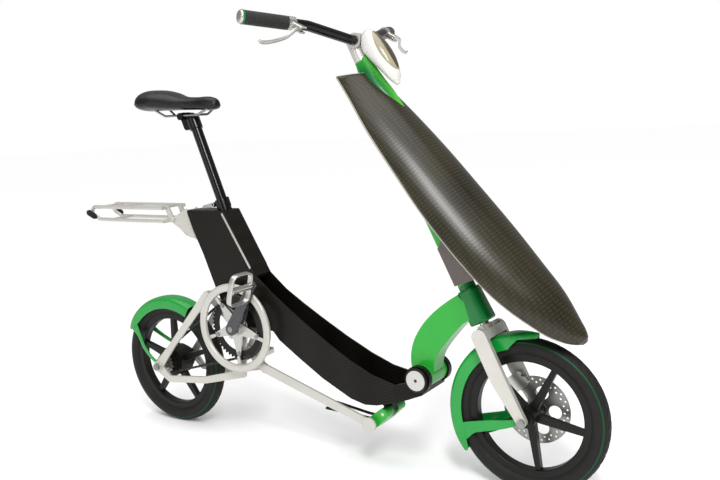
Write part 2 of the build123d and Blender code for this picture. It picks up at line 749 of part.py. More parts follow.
# ---------------------------------------------------------------- fork
crown_low = -12.0
crown_high = 12.0
with BuildPart() as fork:
    for side in (-1, 1):
        low, high = sorted((side * leg_face[0], side * leg_face[1]))
        flat_bar([steer_point(2, 2), (1157, 300), front_hub_at], (20, 20, 12), low, high)
    with BuildSketch(steer_plane(crown_low)):
        RectangleRounded(46, 2 * leg_face[1] - 6, 14)
    extrude(amount=crown_high - crown_low)
    with BuildSketch(steer_plane(crown_high)):
        Circle(21)
    extrude(amount=head_low - crown_high - clear - 6)
    with BuildSketch(steer_plane(crown_low - 10)):
        Circle(steerer_radius + running)
    extrude(amount=80, mode=Mode.SUBTRACT)
    cross_bar(front_hub_at, front_axle_radius + running, -100, 100, Mode.SUBTRACT)
    cross_bar(front_hub_at, tyre_radius + guard_gap + 6, -guard_half - 3, guard_half + 3, Mode.SUBTRACT)
save(fork, "fork")

with BuildPart() as steerer:
    with BuildSketch(steer_plane(crown_low + 2)):
        Circle(steerer_radius)
    extrude(amount=bar_level - bar_radius - 12 - crown_low)
save(steerer, "steerer")

with BuildPart() as guard_nose:
    with BuildSketch(side_plane()):
        with BuildLine():
            Polyline((1198, 412.5), (1224, 418), (1150, 391), (1146, 400), close=True)
        make_face()
    extrude(amount=13, both=True)
    cross_bar(front_hub_at, tyre_radius + guard_gap, -guard_half, guard_half, Mode.SUBTRACT)

with BuildPart() as front_mudguard:
    mudguard(front_hub_at, 92, 213)
    add(guard_nose.part)
    for side in (-1, 1):
        low, high = sorted((side * (guard_half - 2), side * (guard_half + 2)))
        joint = polar(front_hub_at, disc_radius + 11, 199)
        flat_bar([polar(front_hub_at, skirt_radius + 8, 197), joint], (13, 9), low, high)
        low, high = sorted((side * (guard_half - 2), side * (leg_face[0] - clear)))
        cross_bar(joint, 7, low, high)
        low, high = sorted((side * (leg_face[0] - clear - 2.4), side * (leg_face[0] - clear)))
        flat_bar([joint, polar(front_hub_at, 16, 200)], (9, 8), low, high)
save(front_mudguard, "front_mudguard")

with BuildPart() as brake_caliper:
    for y in (disc_level - 5 - clear, disc_level + 2 + clear):
        flat_bar([polar(front_hub_at, disc_radius - 10, angle) for angle in (116, 140)], (14, 14), y, y + 5)
    flat_bar([polar(front_hub_at, disc_radius + 11, angle) for angle in (118, 138)], (8.2, 8.2),
             disc_level - 5 - clear, leg_face[0] - clear)
save(brake_caliper, "brake_caliper")

# ---------------------------------------------------------------- handlebar
bar_centre = steer_point(bar_level, 18)
cap_length = 8.0
bar_half_route = [(0, 36, 0), (-32, 178, 30), (-105, grip_span - cap_length - clear, 48)]
bar_points = [place(bar_centre[0] + dx, bar_centre[1] + dz, side * y) for side in (-1, 1)
              for dx, y, dz in bar_half_route[::side]]
with BuildPart() as handlebar:
    rod(bar_points, bar_radius, 60)
save(handlebar, "handlebar")

grip_radius = 16.5
grip_length = 118.0
elbow, tip = [Vector(bar_centre[0] + dx, y, bar_centre[1] + dz) for dx, y, dz in bar_half_route[1:]]
grip_heading = (tip - elbow).normalized()


def on_grip(distance, side):
    """World point on the grip's axis, back from the bar's end."""
    spot = tip - grip_heading * distance
    return place(spot.X, spot.Z, side * spot.Y)


def grip_plane(distance, side):
    heading = Vector(grip_heading.X, side * grip_heading.Y, grip_heading.Z)
    return Plane(origin=on_grip(distance, side), x_dir=heading.cross(Vector(0, 0, 1)), z_dir=heading)


with BuildPart() as grips:
    for side in (-1, 1):
        with BuildSketch(grip_plane(grip_length, side)) as start:
            Circle(grip_radius)
            Circle(bar_radius + running, mode=Mode.SUBTRACT)
        extrude(start.sketch, amount=grip_length)
        with BuildSketch(grip_plane(-clear, side)) as cap:
            Circle(grip_radius - clear)
        extrude(cap.sketch, amount=cap_length)
save(grips, "grips")

collar_at = grip_length + 12
lever_ahead = Vector(0.88, 0, -0.47)
lever_pivot = {}
with BuildPart() as lever_mounts:
    for side in (-1, 1):
        seat = grip_plane(collar_at, side)
        with BuildSketch(seat) as ring:
            Circle(bar_radius + 4)
        extrude(ring.sketch, amount=10, both=True)
        lever_pivot[side] = on_grip(collar_at, side) + lever_ahead * 34 + Vector(0, side * 2, 0)
        with BuildSketch(Plane(origin=on_grip(collar_at, side), x_dir=(0, 1, 0), z_dir=lever_ahead)) as arm:
            RectangleRounded(22, 18, 4)
        extrude(arm.sketch, amount=42)
        with BuildSketch(seat) as bore:
            Circle(bar_radius + running)
        extrude(bore.sketch, amount=40, both=True, mode=Mode.SUBTRACT)
        slot = Plane(origin=lever_pivot[side], x_dir=lever_ahead, z_dir=lever_ahead.cross(Vector(0, side, 0)))
        with BuildSketch(slot) as gap:
            Rectangle(27, 60)
        extrude(gap.sketch, amount=4.6, both=True, mode=Mode.SUBTRACT)
        with BuildSketch(slot.offset(-9)) as pin:
            Circle(2.5)
        extrude(pin.sketch, amount=18)
save(lever_mounts, "lever_mounts")

lever_tip = (-51.0, grip_span, -14.0)
for name, side in side_of.items():
    pivot = lever_pivot[side]
    spin_dir = lever_ahead.cross(Vector(0, side, 0)).normalized()
    with BuildPart() as brake_lever:
        rod([pivot, pivot + Vector(2, side * 26, -2),
             place(bar_centre[0] + lever_tip[0], bar_centre[1] + lever_tip[2], side * lever_tip[1])], 4.0, 30)
        with BuildSketch(Plane(origin=pivot - spin_dir * 4, z_dir=spin_dir)) as boss:
            Circle(7)
        extrude(boss.sketch, amount=8)
        with BuildSketch(Plane(origin=pivot - spin_dir * 9, z_dir=spin_dir)) as bore:
            Circle(2.5 + running)
        extrude(bore.sketch, amount=18, mode=Mode.SUBTRACT)
    save(brake_lever, "brake_lever_" + name)

# ---------------------------------------------------------------- headlight
# Each station is (distance down the lamp, half width, depth behind the joint, depth in front).
lamp_centre = (834.0, 1102.0)
lamp_lean = 31.0
lamp_wall = 2.5
lamp_stations = [(-86, 8, 12, 4), (-76, 17, 27, 12), (-56, 23, 38, 19), (-25, 28, 35, 26), (5, 28, 27, 28),
                 (40, 24, 18, 24), (68, 15, 10, 15), (83, 6, 5, 5)]
lamp_along = Vector(sin(radians(lamp_lean)), 0, -cos(radians(lamp_lean)))
lamp_out = Vector(cos(radians(lamp_lean)), 0, sin(radians(lamp_lean)))
lamp_split = 4.0
clamp_half = 22.0
clamp_radius = bar_radius + 6


def lamp_body(stations, drop):
    """The lamp's closed form with its surface moved in by drop."""
    faces = []
    for along, half, behind, before in stations:
        origin = place(*lamp_centre) + lamp_along * along
        with BuildSketch(Plane(origin=origin, x_dir=(0, 1, 0), z_dir=lamp_along)) as section:
            with BuildLine():
                ThreePointArc((drop - half, 0), (0, before - drop), (half - drop, 0))
                ThreePointArc((half - drop, 0), (0, drop - behind), (drop - half, 0))
            make_face()
        faces.append(section.sketch.face())
    with BuildPart() as body:
        loft(faces)
    return body.part


def lamp_half(offset, reach):
    """The lamp's hollow form cut away on one side of the joint between housing and lens."""
    with BuildPart() as half:
        add(lamp_body(lamp_stations, 0))
        add(lamp_body(lamp_stations[1:-1], lamp_wall), mode=Mode.SUBTRACT)
        with BuildSketch(Plane(origin=place(*lamp_centre) + lamp_out * offset, z_dir=lamp_out)) as cut:
            Rectangle(400, 400)
        extrude(cut.sketch, amount=reach, mode=Mode.SUBTRACT)
    return half


headlight_housing = lamp_half(lamp_split, 200)
with headlight_housing:
    cross_bar(bar_centre, clamp_radius + clear, -clamp_half - 30, clamp_half + 30, Mode.SUBTRACT)
save(headlight_housing, "headlight_housing")
headlight_lens = lamp_half(lamp_split + clear, -200)
save(headlight_lens, "headlight_lens")

# ---------------------------------------------------------------- stem
with BuildPart() as stem:
    round_bar(axis_base, column_high + 1, bar_level, 18.0, 17.0)
    with BuildSketch(steer_plane(bar_level)):
        Circle(17)
    extrude(amount=9)
    cross_bar(bar_centre, clamp_radius, -clamp_half, clamp_half)
    with BuildSketch(side_plane()) as arm:
        with Locations(bar_centre):
            Circle(9)
        with Locations((lamp_centre[0] - 22, lamp_centre[1] + 22)):
            Circle(9)
        make_hull()
    extrude(arm.sketch, amount=8, both=True)
    with BuildSketch(steer_plane(column_high - 10)) as bore:
        Circle(steerer_radius + running)
    extrude(bore.sketch, amount=bar_level - bar_radius - 12 - column_high + 12, mode=Mode.SUBTRACT)
    cross_bar(bar_centre, bar_radius + running, -60, 60, Mode.SUBTRACT)
    add(lamp_body(lamp_stations, -running), mode=Mode.SUBTRACT)
save(stem, "stem")

# ---------------------------------------------------------------- seat
with BuildPart() as seatpost:
    with BuildSketch(seat_plane(-post_down)):
        Circle(post_radius)
        Circle(post_radius - 2.5, mode=Mode.SUBTRACT)
    extrude(amount=post_down + post_up)
save(seatpost, "seatpost")

collar_low = 6.0
ear_low = 20.0
ear_high = 33.0
ear_half = 9.0
lever_pin_at = seat_point((ear_low + ear_high) / 2, -28.5)
lever_end = (186.0, 706.0)
with BuildPart() as seat_clamp:
    with BuildSketch(seat_plane(collar_low)):
        Circle(post_radius + 6)
        Circle(post_radius + running, mode=Mode.SUBTRACT)
    extrude(amount=ear_high - collar_low)
    with BuildSketch(seat_plane(ear_low)):
        with Locations((-26, 0)):
            RectangleRounded(20, 2 * ear_half, 3)
        Circle(post_radius + running, mode=Mode.SUBTRACT)
    extrude(amount=ear_high - ear_low)
    with BuildSketch(seat_plane(-4)):
        Circle(post_radius + 4)
        Circle(post_radius + running, mode=Mode.SUBTRACT)
    extrude(amount=12)
    cross_bar(lever_pin_at, 3, -ear_half - 7, ear_half)
    add(outer_block, mode=Mode.SUBTRACT)
save(seat_clamp, "seat_clamp")

with BuildPart() as seat_clamp_lever:
    flat_bar([lever_pin_at, lever_end], (6.5, 5), -ear_half - 7 - clear, -ear_half - clear)
    cross_bar(lever_pin_at, 3 + running, -60, 60, Mode.SUBTRACT)
save(seat_clamp_lever, "seat_clamp_lever")

rail_half = 22.0
rail_radius = 3.5
rail_level = 984.0
rail_nose = (242.0, 1006.0)
rail_tail = (16.0, 1012.0)
clamp_centre = (128.0, 981.0)
with BuildPart() as saddle_clamp:
    with BuildSketch(seat_plane(post_up - 30)):
        Circle(post_radius + 4)
        Circle(post_radius + running, mode=Mode.SUBTRACT)
    extrude(amount=34)
    flat_bar([seat_point(post_up - 12, -22), clamp_centre], (12, 12), -15, 15)
    cross_bar(clamp_centre, 11, -rail_half - 7, rail_half + 7)
    with BuildSketch(seat_plane(post_up - 60)):
        Circle(post_radius + running)
    extrude(amount=60 + 4, mode=Mode.SUBTRACT)
    for side in (-1, 1):
        rod([place(clamp_centre[0] - 60, rail_level, side * rail_half),
             place(clamp_centre[0] + 60, rail_level, side * rail_half)], rail_radius + running, mode=Mode.SUBTRACT)
save(saddle_clamp, "saddle_clamp")

with BuildPart() as saddle_rails:
    for side in (-1, 1):
        rod([place(*rail_nose, side * 10), place(196, rail_level, side * rail_half),
             place(62, rail_level, side * rail_half), place(*rail_tail, side * 34)], rail_radius, 18)
save(saddle_rails, "saddle_rails")

# Each station is (x, underside, top, half width) along the saddle.
saddle_stations = [(-36, 1018, 1044, 50), (-20, 1006, 1060, 70), (30, 1001, 1066, 78), (76, 1000, 1058, 66),
                   (128, 999, 1041, 42), (180, 997, 1036, 28), (230, 994, 1035, 23), (258, 996, 1027, 17)]


def saddle_section(station, inset=0.0):
    """A crowned cross-section of the saddle."""
    x, low, high, half = station
    with BuildSketch(Plane(origin=place(x, 0), x_dir=(0, 1, 0), z_dir=(1, 0, 0))) as section:
        with BuildLine():
            Spline((-half, low + (high - low) * 0.35), (0, high), (half, low + (high - low) * 0.35),
                   tangents=((0.3, 1), (0.3, -1)))
            Spline((half, low + (high - low) * 0.35), (0, low), (-half, low + (high - low) * 0.35),
                   tangents=((-0.3, -1), (-0.3, 1)))
        make_face()
    return section.sketch.face()


with BuildPart() as saddle:
    loft([saddle_section(station) for station in saddle_stations])
    for side in (-1, 1):
        for bend, end in ((place(196, rail_level, side * rail_half), place(*rail_nose, side * 10)),
                          (place(62, rail_level, side * rail_half), place(*rail_tail, side * 34))):
            rod([bend, end + (end - bend).normalized()], rail_radius + clear, mode=Mode.SUBTRACT)
save(saddle, "saddle")

# ---------------------------------------------------------------- rack
rack_pivot = (60.0, 666.0)
rack_half = 46.0
rack_top = 703.0
rack_low = 662.0
rack_tube = 6.0
with BuildPart() as rack_bracket:
    for side in (-1, 1):
        low, high = sorted((side * 20, side * 25))
        with BuildSketch(side_plane(high)) as cheek:
            with BuildLine():
                Polyline((134, 692), (118, 700), (100, 690), (52, 668), (60, 654), (128, 612), (168, 606), close=True)
            make_face()
        extrude(cheek.sketch, amount=5)
    with BuildSketch(side_plane(25)) as web:
        with BuildLine():
            Polyline((120, 697), (134, 695), (172, 604), (150, 606), close=True)
        make_face()
    extrude(web.sketch, amount=50)
    cross_bar(rack_pivot, 9, -25, -20)
    cross_bar(rack_pivot, 9, 20, 25)
    cross_bar(rack_pivot, 5 + running, -60, 60, Mode.SUBTRACT)
    add(outer_block, mode=Mode.SUBTRACT)
save(rack_bracket, "rack_bracket")

with BuildPart() as rack_frame:
    for side in (-1, 1):
        y = side * rack_half
        rod([place(26, rack_low, y), place(44, rack_top, y), place(14, rack_top, y)][1:], rack_tube)
        rod([place(44, rack_top, y), place(-rack_overhang + 26, rack_top, y),
             place(-rack_overhang + rack_tube, rack_low + 22, y), place(-rack_overhang + 48, rack_low, y),
             place(44, rack_low, y)], rack_tube, 12)
        low, high = sorted((side * 26, side * rack_half))
        cross_bar((44, rack_low), rack_tube, low, high)
    for x, z in ((-rack_overhang + 60, rack_top), (-150, rack_top), (20, rack_top), (-200, rack_low)):
        cross_bar((x, z), 4.5, -rack_half, rack_half)
    for side in (-1, 1):
        low, high = sorted((side * (25 + clear), side * 31))
        flat_bar([rack_pivot, (44, rack_top - 2)], (10, 8), low, high)
        cross_bar((40, rack_top), 5, *sorted((side * 26, side * rack_half)))
    cross_bar(rack_pivot, 5, -31, 31)
save(rack_frame, "rack_frame")

# end blocks outside the tail's two tubes
with BuildPart() as rack_feet:
    for side in (-1, 1):
        low, high = sorted((side * (rack_half + rack_tube + clear), side * (rack_half + rack_tube + 8)))
        flat_bar([(-rack_overhang + 9, rack_low + 22), (-rack_overhang + 34, rack_low + 10)], (9, 8), low, high)
save(rack_feet, "rack_feet")

with BuildPart() as rack_latch:
    flat_bar([rack_pivot, (112, 622)], (10, 6.5), -19.5, -14)
    cross_bar(rack_pivot, 10, -19.5, 19.5)
    cross_bar((112, 622), 6.5, -19.5, 4)
    cross_bar(rack_pivot, 5 + running, -60, 60, Mode.SUBTRACT)
save(rack_latch, "rack_latch")
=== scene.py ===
# %% [markdown]
# # A folding bicycle
# The imported model is loaded first: it is the fixed frame, in metres, and every piece made here is set
# round it.

# %% Load the frame
import math

import bpy
import numpy as np
from mathutils import Matrix, Vector


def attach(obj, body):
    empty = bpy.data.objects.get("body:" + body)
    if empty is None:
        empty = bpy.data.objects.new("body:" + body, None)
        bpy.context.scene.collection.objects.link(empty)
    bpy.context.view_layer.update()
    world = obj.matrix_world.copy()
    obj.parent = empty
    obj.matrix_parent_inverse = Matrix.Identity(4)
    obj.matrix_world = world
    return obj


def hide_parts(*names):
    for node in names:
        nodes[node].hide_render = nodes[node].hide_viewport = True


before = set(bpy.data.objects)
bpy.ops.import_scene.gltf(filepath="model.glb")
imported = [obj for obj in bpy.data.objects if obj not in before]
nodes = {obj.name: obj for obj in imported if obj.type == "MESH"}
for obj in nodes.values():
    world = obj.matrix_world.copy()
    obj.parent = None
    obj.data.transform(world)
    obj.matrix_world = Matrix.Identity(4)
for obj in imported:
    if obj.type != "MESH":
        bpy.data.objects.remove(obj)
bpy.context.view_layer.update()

# %% [markdown]
# ## Camera
# The bicycle is seen from its front right, a little from above.  A camera is three directions and a
# place: where it looks, what is to its right and what is up.  The two small turns after the first one
# are the tilt down and the slight roll.

# %% Camera
CAMERA_PLACE = (1.4094, -1.8915, 0.9555)           # metres
CAMERA_LENS, SENSOR_WIDTH = 41.94, 36.0            # mm
yaw, pitch, roll = 0.57692, 0.14664, -0.05107      # radians
looking = np.array([-math.sin(yaw) * math.cos(pitch), math.cos(yaw) * math.cos(pitch), -math.sin(pitch)])
level_right = np.cross(looking, [0, 0, 1])
level_right /= np.linalg.norm(level_right)
level_up = np.cross(level_right, looking)
right = math.cos(roll) * level_right + math.sin(roll) * level_up
up = -math.sin(roll) * level_right + math.cos(roll) * level_up
camera_data = bpy.data.cameras.new("camera")
camera = bpy.data.objects.new("camera", camera_data)
bpy.context.scene.collection.objects.link(camera)
camera_turn = Matrix([[right[i], up[i], -looking[i]] for i in range(3)]).to_4x4()
camera.matrix_world = Matrix.Translation(CAMERA_PLACE) @ camera_turn
camera_data.sensor_width = SENSOR_WIDTH
camera_data.lens = CAMERA_LENS
bpy.context.scene.camera = camera
print("camera at", CAMERA_PLACE, "with a lens of", CAMERA_LENS, "mm")

# %% [markdown]
# ## Colours and nodes
# Colours are written as sRGB hex, as a paint maker gives them, and turned to linear light once, here.
# One small function adds a node to a material: its settings, its input values, and its links.

# %% Colour and node helpers
COLOUR_A, COLOUR_B, MIXED = 6, 7, 2     # the colour sockets of a Mix node: two inputs and the output


def linear(code):
    """Linear red, green, blue and alpha of an sRGB hex value."""
    parts = np.array([int(code[i:i + 2], 16) / 255 for i in (1, 3, 5)])
    parts = np.where(parts <= 0.04045, parts / 12.92, ((parts + 0.055) / 1.055) ** 2.4)
    return (*parts.tolist(), 1.0)


def add_node(tree, kind, settings=None, inputs=None):
    """A node with its settings made and its inputs, by name or number, set, or linked to a socket."""
    made = tree.nodes.new(kind)
    for name, value in (settings or {}).items():
        setattr(made, name, value)
    for name, value in (inputs or {}).items():
        if isinstance(value, bpy.types.NodeSocket):
            tree.links.new(value, made.inputs[name])
        else:
            made.inputs[name].default_value = value
    return made


def new_material(name):
    """An empty material, its node tree, and the Object coordinates that its patterns are drawn in."""
    material = bpy.data.materials.new(name)
    material.use_nodes = True
    tree = material.node_tree
    tree.nodes.clear()
    place = add_node(tree, "ShaderNodeTexCoord")
    return material, tree, place


def finish_material(tree, shader):
    """The last link, from the shader to the surface."""
    add_node(tree, "ShaderNodeOutputMaterial", inputs={"Surface": shader.outputs["BSDF"]})


print("green of the front arc in linear light", [round(part, 3) for part in linear("#2FA42C")])

# %% [markdown]
# ## Lacquer
# The front arc, the mudguards and the arms are sprayed lacquer over metal or plastic: an even colour, a
# hard glossy coat, and the faint waviness called orange peel, whose bumps are about 2 mm apart.  Broad
# noise moves the colour a few percent, because no sprayed coat is perfectly even.  The edges of real
# paint are a little lighter where it is thin, which the pointiness of the mesh could show, but these
# meshes are made of loose triangles, so the broad noise has to be enough.

# %% Lacquer
BROAD_NOISE = 9.0      # clouds in each metre, so about 110 mm across


def lacquer(name, colour, shade, roughness=0.28, coat=0.6, peel=450.0, depth=0.00012, metallic=0.0,
            gloss=0.5):
    """Sprayed paint: broad noise between two colours, fine noise as bump, a clear coat on top."""
    material, tree, place = new_material(name)
    broad = add_node(tree, "ShaderNodeTexNoise", inputs={
        "Vector": place.outputs["Object"], "Scale": BROAD_NOISE, "Detail": 3.0, "Roughness": 0.55})
    tint = add_node(tree, "ShaderNodeMix", {"data_type": "RGBA"}, {
        "Factor": broad.outputs["Fac"], COLOUR_A: linear(colour), COLOUR_B: linear(shade)})
    fine = add_node(tree, "ShaderNodeTexNoise", inputs={
        "Vector": place.outputs["Object"], "Scale": peel, "Detail": 2.0})
    bump = add_node(tree, "ShaderNodeBump", inputs={
        "Height": fine.outputs["Fac"], "Strength": 0.5, "Distance": depth})
    rough = add_node(tree, "ShaderNodeMapRange", inputs={
        "Value": broad.outputs["Fac"], "To Min": roughness * 0.8, "To Max": roughness * 1.25})
    shader = add_node(tree, "ShaderNodeBsdfPrincipled", inputs={
        "Base Color": tint.outputs[MIXED], "Roughness": rough.outputs["Result"],
        "Normal": bump.outputs["Normal"], "Metallic": metallic, "Coat Weight": coat,
        "Coat Roughness": 0.06, "Specular IOR Level": gloss})
    finish_material(tree, shader)
    return material


# arc, column and stand: bright green sprayed on castings, with a soft wide highlight
green_lacquer = lacquer("green_lacquer", "#2FA42C", "#169234", coat=0.2, gloss=0.3)
# head tube and grip rings: the arc's green paint made darker, as painted shade
darker_green_painted_shade = lacquer("darker_green_painted_shade", "#05742F", "#04662B", coat=0.2, gloss=0.3)
# mudguards: ABS moulded in a polished tool, cooler in colour and sharper in gloss than the paint
green_mudguard = lacquer("green_mudguard_gloss_abs", "#129A36", "#058332", roughness=0.24, coat=0.3,
                         gloss=0.35)
# arm, strut, rack and fork: warm pale grey with a little metal flake, brighter where it faces a light
silver_lacquer = lacquer("silver_lacquer", "#C4C2BB", "#B3B1A9", roughness=0.34, coat=0.3, metallic=0.35)
# lamp housing: smooth pearl white ABS, almost without texture
white_housing = lacquer("pearl_white_abs", "#D6D5D0", "#C9C8C3", roughness=0.24, coat=0.2)
# bar, seatpost and clamps: gloss black on aluminium tube, black but for a thin line of reflection
black_lacquer = lacquer("black_gloss_lacquer", "#050505", "#0A0A0A", roughness=0.2, coat=0.0, gloss=0.3)
# rims, rear hub, chainring and stand legs: paint on rougher castings, so a dull wide sheen
cast_black = lacquer("black_cast_rim_lacquer", "#0E0D0C", "#161513", roughness=0.38, coat=0.0, peel=300.0,
                     gloss=0.22)
# right crank: the cranks' metal darkened to grey with metal flake, as painted shade of the near crank
near_crank_painted_shade = lacquer("near_crank_painted_shade_lacquer", "#46464A", "#38383C", roughness=0.3, coat=0.4, metallic=0.5)
# block under the shield: a dull warm grey moulding with a fine even texture
grey_moulding = lacquer("warm_grey_moulding", "#645853", "#584D49", roughness=0.42, coat=0.1, peel=700.0)
print("lacquers made, materials so far", len(bpy.data.materials))

# %% [markdown]
# ## Bare metal
# Cranks, levers and pedals are satin aluminium, and axles, rails, disc and chain are steel.  Turned or
# brushed metal has scratches that run one way, so the noise is stretched about twenty times along X and
# drives both roughness and a very shallow bump.

# %% Bare metal
SCRATCHES = (40.0, 900.0, 900.0)       # in each metre, along X and across it


def bare_metal(name, colour, shade, roughness):
    """Metal with fine scratches: noise stretched along X, in colour, roughness and bump."""
    material, tree, place = new_material(name)
    stretch = add_node(tree, "ShaderNodeMapping", inputs={
        "Vector": place.outputs["Object"], "Scale": SCRATCHES})
    scratch = add_node(tree, "ShaderNodeTexNoise", inputs={
        "Vector": stretch.outputs["Vector"], "Scale": 1.0, "Detail": 4.0, "Roughness": 0.6})
    tint = add_node(tree, "ShaderNodeMix", {"data_type": "RGBA"}, {
        "Factor": scratch.outputs["Fac"], COLOUR_A: linear(shade), COLOUR_B: linear(colour)})
    rough = add_node(tree, "ShaderNodeMapRange", inputs={
        "Value": scratch.outputs["Fac"], "To Min": roughness * 0.7, "To Max": roughness * 1.35})
    bump = add_node(tree, "ShaderNodeBump", inputs={
        "Height": scratch.outputs["Fac"], "Strength": 0.35, "Distance": 0.00008})
    shader = add_node(tree, "ShaderNodeBsdfPrincipled", inputs={
        "Base Color": tint.outputs[MIXED], "Metallic": 1.0, "Roughness": rough.outputs["Result"],
        "Normal": bump.outputs["Normal"]})
    finish_material(tree, shader)
    return material


# cranks, cages and levers: blasted and polished aluminium, pale with blurred reflections
satin_aluminium = bare_metal("satin_aluminium", "#D2D1CD", "#A9A8A4", 0.34)
# axles, rails, disc and sprocket: turned or ground steel, a darker grey
turned_steel = bare_metal("turned_steel", "#A5A4A0", "#7C7B78", 0.36)
# chain: blued steel under oil, nearly black
dark_steel = bare_metal("blued_steel", "#4B4A48", "#353432", 0.4)
print("metals made, materials so far", len(bpy.data.materials))

# %% [markdown]
# ## Carbon laminate
# The frame and the leg shield are woven carbon in clear resin, rubbed to a soft gloss.  Each tow of a
# twill lies over two and under two, and catches the light by its direction, so the cloth is drawn as
# sets of bands at right angles whose product lightens the colour.  Real tows are 2 mm wide; they are
# drawn 4 mm wide and a little more, the finest that still shows at this distance, and the pattern is
# turned to lie along the piece.

# %% Carbon laminate
BAND = 0.314           # a wave texture makes about one band for each 0.314 / scale metres


def carbon(name, dark, light, lean, tow, contrast=1.0, roughness=0.32, gloss=0.3):
    """Two crossed sets of bands, one tow wide, turned by lean degrees about Y, with a soft gloss."""
    material, tree, place = new_material(name)
    turned = add_node(tree, "ShaderNodeMapping", inputs={
        "Vector": place.outputs["Object"], "Rotation": (0.0, math.radians(lean), 0.0)})
    lengthwise, sideways, upright = [
        add_node(tree, "ShaderNodeTexWave", {"wave_type": "BANDS", "bands_direction": axis}, {
            "Vector": turned.outputs["Vector"], "Scale": BAND / (2 * tow), "Distortion": 0.0})
        for axis in ("X", "Y", "Z")]
    sides = add_node(tree, "ShaderNodeMath", {"operation": "ADD"}, {
        0: lengthwise.outputs["Fac"], 1: sideways.outputs["Fac"]})
    weave = add_node(tree, "ShaderNodeMath", {"operation": "MULTIPLY"}, {
        0: sides.outputs[0], 1: upright.outputs["Fac"]})
    broad = add_node(tree, "ShaderNodeTexNoise", inputs={
        "Vector": place.outputs["Object"], "Scale": 6.0, "Detail": 2.0})
    mixed = add_node(tree, "ShaderNodeMath", {"operation": "MULTIPLY_ADD"}, {
        0: weave.outputs[0], 1: 0.45 * contrast, 2: broad.outputs["Fac"]})
    tint = add_node(tree, "ShaderNodeMapRange", {"clamp": True}, {
        "Value": mixed.outputs[0], "From Min": 0.25, "From Max": 1.25})
    colour = add_node(tree, "ShaderNodeMix", {"data_type": "RGBA"}, {
        "Factor": tint.outputs["Result"], COLOUR_A: linear(dark), COLOUR_B: linear(light)})
    bump = add_node(tree, "ShaderNodeBump", inputs={
        "Height": weave.outputs[0], "Strength": 0.25, "Distance": 0.0002})
    shader = add_node(tree, "ShaderNodeBsdfPrincipled", inputs={
        "Base Color": colour.outputs[MIXED], "Roughness": roughness, "Metallic": 0.0,
        "Normal": bump.outputs["Normal"], "Coat Weight": 0.0, "Coat Roughness": 0.12,
        "Specular IOR Level": gloss})
    finish_material(tree, shader)
    return material


# shield: olive brown weave whose gloss draws one long soft band of light down the leaf
shield_carbon = carbon("woven_carbon_shield", "#110E04", "#332E1C", 42.5, 0.0045, gloss=0.42)
# frame: nearly black weave with little gloss, its bands only just seen
frame_carbon = carbon("woven_carbon_frame", "#060504", "#1B1914", 20.5, 0.004, contrast=1.1,
                      roughness=0.34, gloss=0.14)
print("laminates made, materials so far", len(bpy.data.materials))

# %% [markdown]
# ## Rubber, leather and lens
# Tyre rubber is dull and slightly brown with dust, grips are softer and darker, and the saddle cover is
# leather: its grain is cells about 1.5 mm across, with fine creases.  The lamp's lens is a tinted
# plastic with vertical ribs moulded on its inside, 4 mm apart.

# %% Rubber, leather and lens
def soft_skin(name, colour, shade, cell, roughness, depth, sheen=0.0, gloss=0.22):
    """A skin of small cells: Voronoi cells one cell wide as bump, noise in colour and roughness."""
    material, tree, place = new_material(name)
    cells = add_node(tree, "ShaderNodeTexVoronoi", {"feature": "DISTANCE_TO_EDGE"}, {
        "Vector": place.outputs["Object"], "Scale": 1.0 / cell})
    crease = add_node(tree, "ShaderNodeMapRange", {"clamp": True}, {
        "Value": cells.outputs["Distance"], "From Max": 0.12})
    cloud = add_node(tree, "ShaderNodeTexNoise", inputs={
        "Vector": place.outputs["Object"], "Scale": 25.0, "Detail": 5.0})
    tint = add_node(tree, "ShaderNodeMix", {"data_type": "RGBA"}, {
        "Factor": cloud.outputs["Fac"], COLOUR_A: linear(colour), COLOUR_B: linear(shade)})
    rough = add_node(tree, "ShaderNodeMapRange", inputs={
        "Value": cloud.outputs["Fac"], "To Min": roughness * 0.85, "To Max": roughness * 1.15})
    bump = add_node(tree, "ShaderNodeBump", inputs={
        "Height": crease.outputs["Result"], "Strength": 0.6, "Distance": depth})
    shader = add_node(tree, "ShaderNodeBsdfPrincipled", inputs={
        "Base Color": tint.outputs[MIXED], "Roughness": rough.outputs["Result"],
        "Normal": bump.outputs["Normal"], "Sheen Weight": sheen, "Sheen Roughness": 0.5,
        "Specular IOR Level": gloss})
    finish_material(tree, shader)
    return material


# tyres: dull, slightly brown rubber
tyre_rubber = soft_skin("tyre_rubber", "#1E1D1A", "#141311", 0.0022, 0.55, 0.0003)
# the line in the side wall: dark green rubber, duller than the paint
line_green = lacquer("moulded_green_rubber", "#0B4A2A", "#0A3F25", roughness=0.5, coat=0.0, gloss=0.2)
# grips: soft dark grey rubber with a faint dusty sheen at its edges
grip_rubber = soft_skin("grip_rubber", "#2A2927", "#1E1E1C", 0.0030, 0.6, 0.0003, 0.1)
# stops and rack feet: hard black rubber, quite matt
bumper_rubber = soft_skin("black_bumper_rubber", "#1E1E1D", "#171716", 0.0020, 0.7, 0.0002)
# saddle: fine grained black leather, polished by use
saddle_leather = soft_skin("saddle_leather", "#080808", "#040404", 0.0016, 0.3, 0.00012, gloss=0.35)


